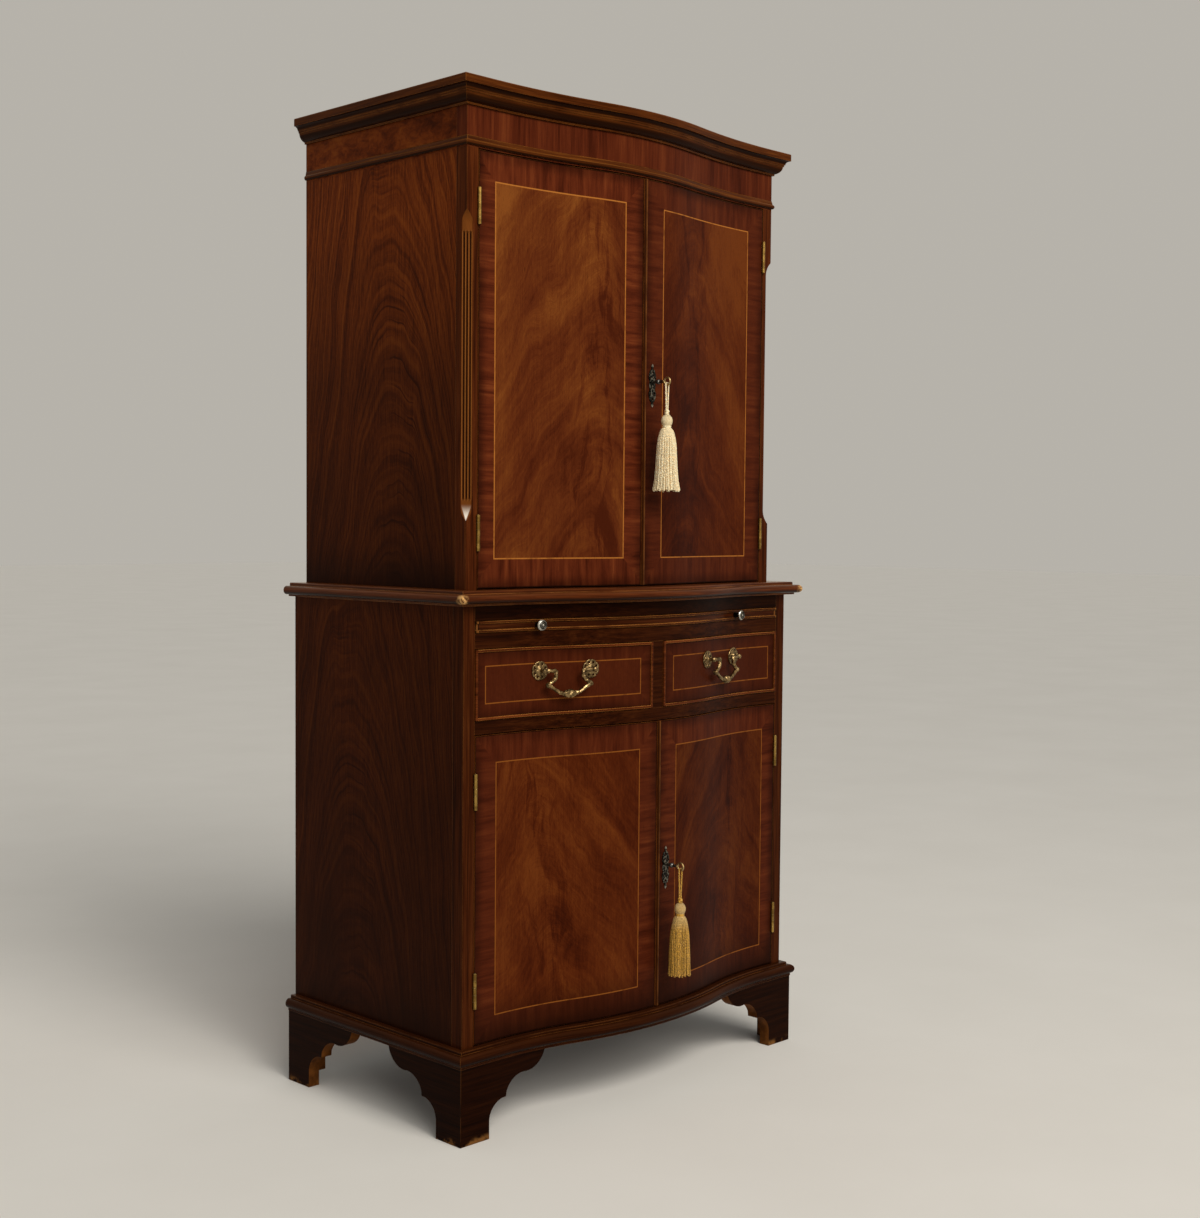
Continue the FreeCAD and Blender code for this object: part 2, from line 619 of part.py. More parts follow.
# Mouldings
def mitred_lengths(label, case, profile):
    """Three lengths of a moulding, mitred at the front corners.

    profile(outward, origin) gives the section's corners for a sketch whose first axis runs outwards as
    the sign and origin say.
    """
    front = new_body(label + "_front_run")
    path = sketch_on(front, label + "_path", "XY_Plane")
    end = f"({case}_half + mitre_span / 4)"
    draw(path, front_run(case, f"-{end}", end), closed=False)
    start = sketch_on(front, label + "_section", "YZ_Plane", f"-{end}")
    draw(start, profile("-1", f"{case}_front"))
    run = front.newObject("PartDesign::AdditivePipe", label + "_swept")
    run.Profile = start
    run.Spine = (path, [])
    side = new_body(label + "_side_run")
    outline = sketch_on(side, label + "_side_section", "XZ_Plane", "-rear")
    draw(outline, profile("-1", f"-{case}_half"))
    pad(side, outline, f"{case}_depth + mitre_span / 4")
    wedge = new_body(label + "_mitre")
    corner_x = f"-{case}_half"
    corner_y = f"{case}_front"
    plan = sketch_on(wedge, label + "_mitre_plan", "XY_Plane")
    draw(plan, [(f"{corner_x} - mitre_span", f"{corner_y} - mitre_span", None),
                (f"{corner_x} + mitre_span", f"{corner_y} + mitre_span", None),
                (f"{corner_x} - mitre_span", f"{corner_y} + mitre_span", None)])
    pad(wedge, plan, "2 * cabinet_top", True)
    face = new_body(label + "_other_mitre")
    plan = sketch_on(face, label + "_other_mitre_plan", "XY_Plane")
    draw(plan, [(f"{corner_x} - mitre_span", f"{corner_y} - mitre_span", None),
                (f"{corner_x} + mitre_span", f"{corner_y} - mitre_span", None),
                (f"{corner_x} + mitre_span", f"{corner_y} + mitre_span", None)])
    pad(face, plan, "2 * cabinet_top", True)
    middle = cut(label + "_front_length", front, [wedge, mirrored(label + "_right_mitre", wedge)])
    left = cut(label + "_left_length", side, [face])
    return group(label, [middle, left, mirrored(label + "_right_length", left)])


def cornice_profile(lean, origin):
    """Fascia, fillets and cove under the cabinet's top."""
    corners = []
    for index, (x, z) in enumerate(CORNICE_SHARES):
        share, side = CORNICE_BEND_SHARES.get(index, (None, None))
        bend = share and (f"{share} * cornice_reach", side)
        corners.append((f"{origin} + ({lean}) * cornice_reach * {x}",
                        f"cabinet_top - cornice_height + cornice_height * {z}",
                        flip(bend, lean)))
    return corners


def flip(bend, lean):
    """An arc's bend on a section drawn outwards to the left or to the right."""
    return bend if bend is None or lean == "1" else (bend[0], -bend[1])


def bead_profile(lean, origin):
    """A thumb-nosed bead with a sloping back."""
    low = "frieze_bottom + bead_lift"
    corners = []
    for index, (x, z) in enumerate(BEAD_SHARES):
        bend = (f"{BEAD_NOSE_SHARE} * bead_height", 1) if index == 1 else None
        corners.append((f"{origin} + ({lean}) * bead_reach * {x}", f"{low} + bead_height * {z}",
                        flip(bend, lean)))
    return corners


def base_profile(lean, origin):
    """A torus under a fillet, on a flat frame that carries the carcass."""
    corners = [(f"{origin} - ({lean}) * base_frame_width", "foot_height", None)]
    for index, (x, z) in enumerate(BASE_SHARES):
        bend = (f"{BASE_TORUS_SHARE} * base_frame_height", 1) if index == 1 else None
        corners.append((f"{origin} + ({lean}) * base_reach * {x}",
                        f"foot_height + base_frame_height * {z}", flip(bend, lean)))
    corners.append((f"{origin} - ({lean}) * base_frame_width", "lower_bottom", None))
    return corners


def make_waist_board():
    """One board with a rounded nose between a foot fillet and an upper step."""
    body = put(new_body("waist_board"), z="lower_top")
    layers = (("foot", "waist_foot_reach", "0", "waist_foot_height"),
              ("nose", "waist_reach", "waist_foot_height", "waist_nose_height"),
              ("step", "waist_step_reach", "waist_foot_height + waist_nose_height",
               "waist_board_height - waist_foot_height - waist_nose_height"))
    for name, reach, level, height in layers:
        end = f"(lower_half + {reach})"
        plan = sketch_on(body, f"waist_{name}_plan", "XY_Plane", level if level != "0" else None)
        draw(plan, board("lower", f"-{end}", end, reach, "rear"))
        pad(body, plan, height)
    nose_low = number("waist_foot_height")
    nose_high = number("waist_foot_height + waist_nose_height")
    step_high = number("waist_board_height")
    nose_out = number("waist_reach")
    step_out = number("waist_step_reach")
    fillet(body, "nose_round", "waist_nose_roundness", (nose_low, nose_high), nose_out)
    fillet(body, "step_round", "waist_step_roundness", (step_high,), step_out)
    return body


def fillet(body, label, radius, levels, reach):
    """Rounds the front and side edges that lie on the given levels at the given reach."""
    doc.recompute()
    tip = body.Tip.Shape
    rear = number("rear")
    half = number("lower_half") + reach
    near = number("edge_tolerance")
    names = []
    for index, edge in enumerate(tip.Edges):
        bounds = edge.BoundBox
        level = any(abs(bounds.ZMin - z) < near and abs(bounds.ZMax - z) < near for z in levels)
        outer = abs(abs(edge.CenterOfMass.x) - half) < near
        if level and bounds.YMin < rear - near and (outer or on_front(edge, reach)):
            names.append(f"Edge{index + 1}")
    base = body.Tip
    feature = body.newObject("PartDesign::Fillet", label)
    feature.Base = (base, names)
    bind(feature, "Radius", radius)
    return feature


def on_front(edge, reach):
    """Whether an edge runs along the lower front at the given reach."""
    middle = edge.valueAt((edge.FirstParameter + edge.LastParameter) / 2)
    gap = middle.y - number(surface_y("lower", str(middle.x), str(reach)))
    return abs(gap) < number("edge_tolerance")


def make_feet():
    """Front and rear bracket feet on the left, mirrored to the right."""
    corner_x = "(-lower_half - foot_reach)"
    corner_y = "(lower_front - foot_reach)"

    def bracket(label, role, lift, origin, lean):
        body = new_body(label)
        sketch = sketch_on(body, label + "_outline", role, lift)
        corners = [(origin, "0", None)]
        for x, z, bend in FOOT_SHARES:
            radius = bend and (f"foot_height * {bend[0]}", bend[1] * (1 if lean == "1" else -1))
            height = "0" if z == 0 else f"foot_height * {z}"
            corners.append((f"{origin} + ({lean}) * foot_length * {x}", height, radius))
        corners.append((origin, "foot_height", None))
        draw(sketch, corners)
        pad(body, sketch, "bracket_thickness")
        return body

    front = bracket("front_bracket_blank", "XZ_Plane", f"-({corner_y} + bracket_thickness)", corner_x, "1")
    side = bracket("side_bracket_blank", "YZ_Plane", corner_x, corner_y, "1")
    rear = bracket("rear_side_bracket", "YZ_Plane", corner_x, "rear", "-1")
    wedges = []
    for name, turn_x, turn_y in (("foot_side_wedge", "+", "-"), ("foot_front_wedge", "-", "+")):
        body = new_body(name)
        sketch = sketch_on(body, name + "_plan", "XY_Plane")
        reach = "bracket_thickness + overrun"
        draw(sketch, [(f"{corner_x} - overrun", f"{corner_y} - overrun", None),
                      (f"{corner_x} + {reach}", f"{corner_y} + {reach}", None),
                      (f"{corner_x} {turn_x} ({reach if turn_x == '+' else 'overrun'})",
                       f"{corner_y} {turn_y} ({reach if turn_y == '+' else 'overrun'})", None)])
        pad(body, sketch, "2 * (foot_height + overrun)", True)
        wedges.append(body)
    block_low = (f"{corner_x} + bracket_thickness", f"{corner_y} + bracket_thickness", "corner_block_lift")
    block = box("front_corner_block", block_low,
                (f"{corner_x} + bracket_thickness + corner_block_width",
                 f"{corner_y} + bracket_thickness + corner_block_width", "foot_height"))
    front_foot = group("front_left_foot", [cut("front_bracket", front, [wedges[1]]),
                                           cut("side_bracket", side, [wedges[0]]), block])
    rear_block = box("rear_corner_block",
                     (f"{corner_x} + bracket_thickness",
                      "rear - rear_block_set_back - rear_block_length", "corner_block_lift"),
                     (f"{corner_x} + bracket_thickness + corner_block_width",
                      "rear - rear_block_set_back", "foot_height"))
    rear_foot = group("rear_left_foot", [rear, rear_block])
    return [group("front_feet", [front_foot, mirrored("front_right_foot", front_foot)]),
            group("rear_feet", [rear_foot, mirrored("rear_right_foot", rear_foot)])]


# Doors and hinges
def make_doors():
    """Four bowed doors: bolt slots in the left-hand ones, a bead and a lock's mortise in the others."""
    pieces = []
    for case in ("upper", "lower"):
        height = f"{case}_door_top - {case}_door_bottom"
        edge = f"{case}_inside - hinge_gap"
        left_edge = f"{case}_bead_left - meeting_gap"
        left = shaped(f"{case}_left_door_blank", strip(case, f"-({edge})", left_edge, "0",
                                                       "-door_thickness"),
                      f"{case}_door_bottom", height)
        bolt_y = bolt_front(case)
        slot = box(f"{case}_bolt_slot",
                   (f"{left_edge} - bolt_slot_depth", f"{bolt_y} - bolt_play",
                    f"{case}_key_height - bolt_height / 2 - bolt_play"),
                   (f"{left_edge} + overrun", f"{bolt_y} + bolt_thickness + bolt_play",
                    f"{case}_key_height + bolt_height / 2 + bolt_play"))
        pieces.append(cut(f"{case}_left_door", left, hinge_seats(case, "door") + [slot]))
        right = shaped(f"{case}_right_door_panel", strip(case, f"{case}_bead_left", edge, "0",
                                                         "-door_thickness"),
                       f"{case}_door_bottom", height)
        bead = rod(f"{case}_meeting_bead",
                   (f"{case}_meeting", f"{case}_crown + meeting_bead_sink", f"{case}_door_bottom"),
                   "z", "meeting_bead_width / 2", height)
        mortise = box(f"{case}_lock_mortise",
                      (f"{case}_bead_left - overrun", f"{case}_crown + door_thickness - lock_case_depth",
                       f"{case}_key_height - lock_case_height / 2"),
                      (f"{case}_bead_left + lock_case_width", f"{case}_crown + door_thickness + overrun",
                       f"{case}_key_height + lock_case_height / 2"))
        hole = rod(f"{case}_door_keyhole", (f"{case}_key_place", f"{case}_crown - overrun",
                                            f"{case}_key_height"),
                   "y", "key_shaft_radius + key_hole_play", "door_thickness + overrun")
        seats = [mirrored(seat.Label + "_right", seat) for seat in hinge_seats(case, "door")]
        blank = fuse(f"{case}_right_door_blank", [right, bead])
        pieces.append(cut(f"{case}_right_door", blank, seats + [mortise, hole]))
    return pieces


def bolt_front(case):
    """The front face of the lock bolt, which lies in the middle of the case."""
    return f"{case}_crown + door_thickness - lock_case_depth / 2 - bolt_thickness / 2"


def make_hinges():
    """Butt hinges: the doors' leaves with two knuckles, the posts' leaves with three and the pin."""
    share = "((hinge_length - 4 * knuckle_gap) / 5)"
    play = "leaf_play / 2"

    def knuckles(name, indices, radius, spread="0"):
        return [rod(f"{name}_{index}", ("0", "0", f"-hinge_length / 2 + {index} * ({share} + knuckle_gap)"
                                                  f" - {spread}"),
                    "z", radius, f"{share} + 2 * {spread}") for index in indices]

    def leaf(name, lean, own, other):
        low, high = (f"-({play}) - leaf_thickness", f"-({play})")
        if lean > 0:
            low, high = (play, f"{play} + leaf_thickness")
        plate = box(name + "_plate", (low, "0", "-hinge_length / 2"),
                    (high, "knuckle_proud + leaf_width", "hinge_length / 2"))
        room = knuckles(name + "_room", other, "knuckle_radius + knuckle_gap", "knuckle_gap")
        return fuse(name + "_joined", [cut(name + "_cut", plate, room)] + knuckles(name + "_knuckle", own,
                                                                                  "knuckle_radius"))

    bore = rod("hinge_bore", ("0", "0", "-hinge_length / 2 - overrun"), "z", "pin_radius + pin_clearance",
               "hinge_length + 2 * overrun")
    door_leaf = cut("door_leaf", leaf("door_leaf", 1, (1, 3), (0, 2, 4)), [bore])
    pin = rod("hinge_pin", ("0", "0", "-hinge_length / 2"), "z", "pin_radius", "hinge_length")
    post_leaf = fuse("post_leaf", [leaf("post_leaf", -1, (0, 2, 4), (1, 3)), pin])
    leaves = {"left": (door_leaf, post_leaf),
              "right": (mirrored("right_door_leaf", door_leaf), mirrored("right_post_leaf", post_leaf))}
    pieces = []
    on_posts = []
    for case in ("upper", "lower"):
        for hand, lean in (("left", "-"), ("right", "")):
            on_door = []
            for index, level in enumerate(hinge_levels(case)):
                spot = (f"{lean}{case}_hinge_x", f"{case}_hinge_y", level)
                name = f"{case}_{hand}_{index}"
                on_door.append(again(f"door_leaf_{name}", leaves[hand][0], *spot))
                on_posts.append(again(f"post_leaf_{name}", leaves[hand][1], *spot))
            pieces.append(group(f"{case}_{hand}_door_hinges", on_door))
    return pieces + [group("post_hinges", on_posts)]


# Locks, keys and tassels
def make_locks():
    """For each pair of doors a lock case, its bolt, an escutcheon and a key."""
    pieces = []
    for case in ("upper", "lower"):
        level = f"{case}_key_height"
        front = f"({case}_crown + door_thickness - lock_case_depth)"
        edge = f"{case}_bead_left"
        low = (edge, front, f"{level} - lock_case_height / 2")
        high = (f"{edge} + lock_case_width", f"{front} + lock_case_depth",
                f"{level} + lock_case_height / 2")
        hollow = box(f"{case}_lock_hollow", tuple(f"{text} + lock_wall" for text in low),
                     tuple(f"{text} - lock_wall" for text in high))
        bolt_y = bolt_front(case)
        window = box(f"{case}_bolt_window",
                     (f"{edge} - overrun", f"{bolt_y} - bolt_play",
                      f"{level} - bolt_height / 2 - bolt_play"),
                     (f"{edge} + lock_wall + overrun", f"{bolt_y} + bolt_thickness + bolt_play",
                      f"{level} + bolt_height / 2 + bolt_play"))
        key_place = f"{case}_key_place"
        hole = rod(f"{case}_case_keyhole", (key_place, f"{front} - overrun", level), "y",
                   "key_shaft_radius + key_hole_play", "lock_wall + 2 * overrun")
        pieces.append(cut(f"{case}_lock_case", box(f"{case}_lock_block", low, high), [hollow, window, hole]))
        plate = box(f"{case}_bolt_plate",
                    (f"{edge} + bolt_end_gap", bolt_y, f"{level} - bolt_height / 2"),
                    (f"{edge} + lock_case_width - lock_wall - bolt_end_gap",
                     f"{bolt_y} + bolt_thickness", f"{level} + bolt_height / 2"))
        sweep = box(f"{case}_bolt_gate",
                    (f"{key_place} - key_bit_radius - key_bit_play", f"{bolt_y} - overrun",
                     f"{level} - bolt_height / 2 + bolt_arm"),
                    (f"{key_place} + key_bit_radius + bolt_throw + overrun",
                     f"{bolt_y} + bolt_thickness + overrun", f"{level} + bolt_height / 2 - bolt_arm"))
        pieces.append(cut(f"{case}_lock_bolt", plate, [sweep]))
        pieces.append(make_escutcheon(case))
        pieces.append(make_key(case))
    return pieces


def make_escutcheon(case):
    """A pierced plate that follows the bow of the door."""
    body = new_body(f"{case}_escutcheon")
    slope = surface_slope(case, f"{case}_key_place")
    body.Placement = Placement(Vector(), Rotation(Vector(0, 0, 1), number(slope)))
    bind(body, "Placement.Rotation.Angle", slope)
    put(body, f"{case}_key_place", f"{case}_key_y - escutcheon_seat", f"{case}_key_height - escutcheon_drop")
    face = sketch_on(body, f"{case}_escutcheon_face", "XZ_Plane")
    half = [(x, z) for x, z in ESCUTCHEON_SHARES]
    other = [(-x, z) for x, z in half[::-1][1:-1]]
    draw(face, [("0" if x == 0 else f"escutcheon_width / 2 * ({x})",
                 "0" if z == 0 else f"escutcheon_height / 2 * ({z})", None) for x, z in half + other])
    pad(body, face, "escutcheon_thickness")
    holes = sketch_on(body, f"{case}_escutcheon_holes", "XZ_Plane")
    ring(holes, "0", "escutcheon_drop", "key_shaft_radius + 2 * key_hole_play")
    for x, z in PIERCING_SHARES:
        ring(holes, "0" if x == 0 else f"escutcheon_width / 2 * ({x})", f"escutcheon_height / 2 * ({z})",
             "escutcheon_hole_radius")
    pocket(body, holes, "4 * escutcheon_thickness")
    return body


def make_key(case):
    """A key with a ring bow that stands upright in the lock, its bit hanging down."""
    level = f"{case}_key_height"
    bit_y = f"({bolt_front(case)} - key_bit_play / 2)"
    tip = f"{bit_y} + key_bit_depth"
    ring_y = f"{case}_ring_y"
    x = f"{case}_key_place"
    shaft = rod(f"{case}_key_shaft", (x, f"{ring_y} + key_bow_radius - key_wire_radius", level), "y",
                "key_shaft_radius", f"{tip} - {ring_y} - key_bow_radius + key_wire_radius")
    collar = ball(f"{case}_key_collar", (x, f"{case}_crown - key_collar_place", level),
                  "key_collar_radius")
    bow = doc.addObject("Part::Torus", f"{case}_key_bow")
    bow.Label = f"{case}_key_bow"
    bind(bow, "Radius1", "key_bow_radius - key_wire_radius")
    bind(bow, "Radius2", "key_wire_radius")
    bow.Placement = Placement(Vector(), TURNS["x"])
    put(bow, x, ring_y, level)
    bit = box(f"{case}_key_bit", (f"{x} - key_bit_thickness / 2", bit_y, f"{level} - key_bit_radius"),
              (f"{x} + key_bit_thickness / 2", tip, level))
    return fuse(f"{case}_key", [shaft, collar, bow, bit])


def make_tassels():
    """A tassel under each key's ring, and the cord that goes round the ring's wire."""
    pieces = []
    for case in ("upper", "lower"):
        level = f"({case}_key_height - ring_drop)"
        spot = (f"{case}_key_place", f"{case}_ring_y", f"{level} - {case}_cord_drop")
        body = put(new_body(f"{case}_tassel"), *spot)
        half = sketch_on(body, f"{case}_tassel_half", "XZ_Plane")
        neck = "(-knot_height - tassel_head_height)"
        draw(half, [("0", "0", None), ("knot_radius", "0", None),
                    ("knot_waist_radius", "-knot_height", ("tassel_head_bend", -1)),
                    ("tassel_neck_radius", neck, None),
                    ("tassel_shoulder_radius", f"{neck} - tassel_shoulder_height", None),
                    ("tassel_hip_radius", f"{neck} - tassel_hip_height", None),
                    (f"{case}_skirt_radius", f"{neck} - {case}_skirt_length", None),
                    ("0", f"{neck} - {case}_skirt_length", None)])
        turn(body, half)
        pieces.append(body)
        pieces.append(cord(case, level))
    return pieces


def cord(case, level):
    """A thin cord from the knot up, over the ring's wire and back to the knot."""
    item = doc.addObject("Part::Feature", f"{case}_tassel_cord")
    item.Label = f"{case}_tassel_cord"
    radius = number("cord_radius")
    over = number("key_wire_radius + cord_play + cord_radius")
    drop = number(f"{case}_cord_drop")
    foot = number("cord_foot_spread")
    straight = number("cord_straight")
    knee = Vector(foot, 0, -drop + straight)
    angle = math.atan2(knee.z, knee.x) + math.acos(over / knee.Length)
    contact = Vector(over * math.cos(angle), 0, over * math.sin(angle))
    points = [Vector(foot, 0, -drop), knee, contact]
    knee_arc = rounded(points, 1, number("cord_knee_reach"))
    right = [Part.makeLine(points[0], knee_arc[0]), knee_arc[1], Part.makeLine(knee_arc[2], contact)]
    top = Part.Arc(contact, Vector(0, 0, over), Vector(-contact.x, 0, contact.z)).toShape()
    left = [edge.mirror(Vector(), Vector(1, 0, 0)) for edge in right]
    path = Part.Wire(Part.sortEdges(right + [top] + left)[0])
    start = Part.Wire(Part.makeCircle(radius, points[0], Vector(0, 0, 1)))
    tube = path.makePipeShell([start], True, False)
    item.Shape = tube
    item.Placement = Placement(Vector(number(f"{case}_key_place"), number(f"{case}_ring_y"), number(level)),
                               Rotation())
    bends = ", ".join(f"{edge.Curve.Radius:.1f}" for edge in path.Edges if hasattr(edge.Curve, "Radius"))
    print(f"{item.Label}: cord radius {radius:.2f} mm, bend radii {bends} mm, path {path.Length:.1f} mm, "
          f"volume {tube.Volume:.1f} of {path.Length * math.pi * radius ** 2:.1f} mm3")
    return item


def rounded(points, index, reach):
    """The arc that rounds one corner of a route, starting reach before the corner."""
    before = (points[index - 1] - points[index]).normalize()
    after = (points[index + 1] - points[index]).normalize()
    first = points[index] + before * reach
    last = points[index] + after * reach
    half = math.acos(max(-1, min(1, before.dot(after)))) / 2
    radius = reach * math.tan(half)
    centre = points[index] + (before + after).normalize() * (reach / math.cos(half))
    middle = centre + (points[index] - centre).normalize() * radius
    return first, Part.Arc(first, middle, last).toShape(), last


# Drawers, handles and slide
def make_drawers():
    """Left drawer: bowed front, cock bead, box and bottom, and the mirror image of each."""
    outer = "-drawer_outer"
    inner = "-drawer_inner"
    low = "(drawer_bottom + drawer_gap)"
    height = "(drawer_opening_height - 2 * drawer_gap)"
    bead = new_body("cock_bead_blank")
    put(bead, z=low)
    plan = sketch_on(bead, "cock_bead_plan", "XY_Plane")
    draw(plan, strip("lower", outer, inner, "cock_bead_proud", "-cock_bead_depth"))
    pad(bead, plan, height)
    front = shaped("left_drawer_front",
                   strip("lower", f"{outer} + cock_bead_width", f"{inner} - cock_bead_width", "0",
                         "-drawer_front_thickness"),
                   f"{low} + cock_bead_width", f"{height} - 2 * cock_bead_width")
    window = box("cock_bead_window", (f"{outer} + cock_bead_width", "lower_crown - overrun",
                                      f"{low} + cock_bead_width"),
                 (f"{inner} - cock_bead_width", "lower_front + drawer_front_thickness",
                  f"{low} + {height} - cock_bead_width"))
    frame = cut("left_drawer_cock_bead", bead, [window])
    side_low = "(drawer_bottom + running_gap)"
    side_outer = "(-lower_inside + drawer_side_gap)"
    side_inner = "(-partition_thickness / 2 - drawer_side_gap)"
    tail = "(rear_inside - drawer_back_gap)"
    back_of_front = "-drawer_front_thickness"
    outer_side = box("drawer_outer_side", (side_outer, "lower_front + drawer_front_thickness", side_low),
                     (f"{side_outer} + drawer_side_thickness", tail, f"{side_low} + drawer_side_height"))
    inner_start = surface_y("lower", f"({side_inner} - drawer_side_thickness)", back_of_front)
    inner_side = box("drawer_inner_side", (f"{side_inner} - drawer_side_thickness", inner_start, side_low),
                     (side_inner, tail, f"{side_low} + drawer_side_height"))
    span = (f"{side_outer} + drawer_side_thickness", f"{side_inner} - drawer_side_thickness")
    lift = f"{side_low} + drawer_bottom_lift"
    back = box("drawer_back", (span[0], f"{tail} - drawer_back_thickness", lift),
               (span[1], tail, f"{side_low} + drawer_side_height"))
    bottom = shaped("left_drawer_bottom",
                    board("lower", *span, back_of_front, f"{tail} - drawer_back_thickness"),
                    lift, "drawer_bottom_thickness")
    drawer_box = group("left_drawer_box", [outer_side, inner_side, back, bottom])
    pieces = []
    for piece in (front, frame, drawer_box):
        pieces.append(piece)
        pieces.append(mirrored(piece.Label.replace("left", "right"), piece))
    return pieces


def make_handles():
    """Swan-neck handles: two pierced roses with ball-headed posts, and a bail hung between the heads."""
    plate = new_body("rose_plate")
    face = "-rose_seat - rose_thickness"
    half = sketch_on(plate, "rose_half", "XY_Plane")
    draw(half, [("0", "-rose_seat", None), ("rose_radius", "-rose_seat", None), ("rose_radius", face, None),
                ("rose_boss_radius", face, ("rose_boss_radius", 1)),
                ("post_radius", f"{face} - rose_boss_height", None), ("post_radius", "-post_reach", None),
                ("0", "-post_reach", None)])
    turn(plate, half)
    holes = []
    for index in range(2 * ROSE_HOLES):
        angle = 360 / ROSE_HOLES * (index + 1) / 2
        name, circle = ("notch", "rose_radius") if index % 2 else ("hole", "rose_hole_circle_radius")
        holes.append(rod(f"rose_{name}_{index}", (f"{circle} * cos({angle})", f"{face} - overrun",
                                                  f"{circle} * sin({angle})"),
                         "y", f"rose_{name}_radius", "rose_thickness + 2 * overrun"))
    head = ball("rose_head", ("0", "-post_reach", "0"), "post_head_radius")
    rose = fuse("rose", [cut("rose_pierced", plate, holes), head])
    spots = {}
    roses = []
    for name, lean in (("outer", "+"), ("inner", "-")):
        x = f"(handle_centre {lean} handle_spread / 2)"
        slope = surface_slope("lower", x)
        place(f"{name}_rose_y", surface_y("lower", x))
        place(f"{name}_head_x", f"{x} + post_reach * sin({slope.replace(' / 1deg', '')})")
        place(f"{name}_head_y", f"{name}_rose_y - post_reach * cos({slope.replace(' / 1deg', '')})")
        spots[name] = (x, slope)
    doc.recompute()
    place("bail_x", "(outer_head_x + inner_head_x) / 2")
    place("bail_y", "(outer_head_y + inner_head_y) / 2")
    place("bail_lean", "atan2(outer_head_y - inner_head_y; outer_head_x - inner_head_x) / 1deg")
    place("bail_half", "sqrt((outer_head_x - inner_head_x)^2 + (outer_head_y - inner_head_y)^2) / 2")
    doc.recompute()
    pinhole = rod("bail_pin_hole", ("-bail_half", "0", "0"), "x", "bail_pin_radius + bail_pin_clearance",
                  "2 * bail_half")
    placed_hole = again("placed_pin_hole", group("pin_hole", [pinhole]), "bail_x", "bail_y", "handle_height",
                        "bail_lean")
    for name, (x, slope) in spots.items():
        blank = again(f"{name}_rose_blank", rose, x, f"{name}_rose_y", "handle_height", slope)
        roses.append(cut(f"{name}_rose", blank, [placed_hole]))
    right = group("right_handle_roses", roses)
    bail = doc.addObject("Part::Feature", "right_bail")
    bail.Label = "right_bail"
    bail.Shape = bail_shape()
    bail.Placement = Placement(Vector(number("bail_x"), number("bail_y"), number("handle_height")),
                               Rotation(Vector(0, 0, 1), number("bail_lean")))
    return [right, mirrored("left_handle_roses", right), bail, mirrored("left_bail", bail)]


def bail_shape():
    """A bail in its own plane: pins at the ends, a hook, a scroll and a leaf at the middle."""
    half = number("bail_half")
    drop = number("bail_drop")
    radius = number("bail_radius")
    pin = number("bail_pin_radius")
    start = half - number("post_head_radius + bail_collar_gap")
    route = [Vector(start, 0, 0)] + [Vector(half * x, 0, drop * z) for x, z in BAIL_SHARES]
    edges = []
    last = route[0]
    for index in range(1, len(route) - 1):
        shorter = min((route[index] - route[index - 1]).Length, (route[index + 1] - route[index]).Length)
        first, arc, end = rounded(route, index, shorter * BAIL_BEND_SHARES[index - 1])
        edges += [Part.makeLine(last, first), arc]
        last = end
    edges.append(Part.makeLine(last, route[-1]))
    path = Part.Wire(edges)
    tube = path.makePipeShell([Part.Wire(Part.makeCircle(radius, route[0], Vector(1, 0, 0)))], True, False)
    peg = Part.makeCylinder(pin, number("bail_collar_gap + bail_pin_depth"), route[0], Vector(1, 0, 0))
    scroll = Part.makeSphere(number("scroll_radius"), route[3])
    arm = tube.fuse([peg, scroll])
    reach = number("leaf_half_length")
    swell = Part.Arc(Vector(-reach, 0, -drop), Vector(0, 0, number("leaf_half_height") - drop),
                     Vector(reach, 0, -drop)).toShape()
    middle = Part.makeLine(Vector(reach, 0, -drop), Vector(-reach, 0, -drop))
    leaf = Part.Face(Part.Wire([swell, middle])).revolve(Vector(0, 0, -drop), Vector(1, 0, 0), 360)
    return arm.fuse([arm.mirror(Vector(), Vector(1, 0, 0)), leaf])


def make_slide():
    """A brushing slide: board, bowed and beaded front, and two turned knobs."""
    reach = "(lower_inside - slide_end_gap)"
    low = "(slide_bottom + running_gap)"
    plank = shaped("slide_board", board("lower", f"-{reach}", reach, "-slide_front_thickness",
                                        "rear_inside - slide_back_gap"), low, "slide_board_thickness")
    front = put(new_body("slide_front"), z="slide_bottom + slide_front_gap")
    height = "(slide_opening_height - 2 * slide_front_gap)"
    layers = (("lip", "0", None, height),
              ("lower_bead", "slide_bead_proud", None, "slide_bead_height"),
              ("upper_bead", "slide_bead_proud", f"{height} - slide_bead_height", "slide_bead_height"))
    for name, proud, lift, tall in layers:
        plan = sketch_on(front, f"slide_{name}_plan", "XY_Plane", lift)
        draw(plan, strip("lower", f"-{reach}", reach, proud, "-slide_front_thickness"))
        pad(front, plan, tall)
    knob = new_body("knob")
    half = sketch_on(knob, "knob_half", "XY_Plane")
    neck = "(-knob_reach + knob_head_depth)"
    head = [(f"knob_radius * {x}" if x else "0", f"{neck} - knob_head_depth * {z}" if z else neck, None)
            for x, z in KNOB_SHARES]
    draw(half, [("0", "0", None)] + head[::-1] + [("knob_neck_radius", neck, None),
                                                  ("knob_neck_radius", "0", None)])
    turn(knob, half)
    slope = surface_slope("lower", "knob_place")
    seat = surface_y("lower", "knob_place")
    knobs = [again("left_knob", knob, "-knob_place", seat, "knob_height", f"-({slope})"),
             again("right_knob", knob, "knob_place", seat, "knob_height", slope)]
    return [plank, front, group("slide_knobs", knobs)]


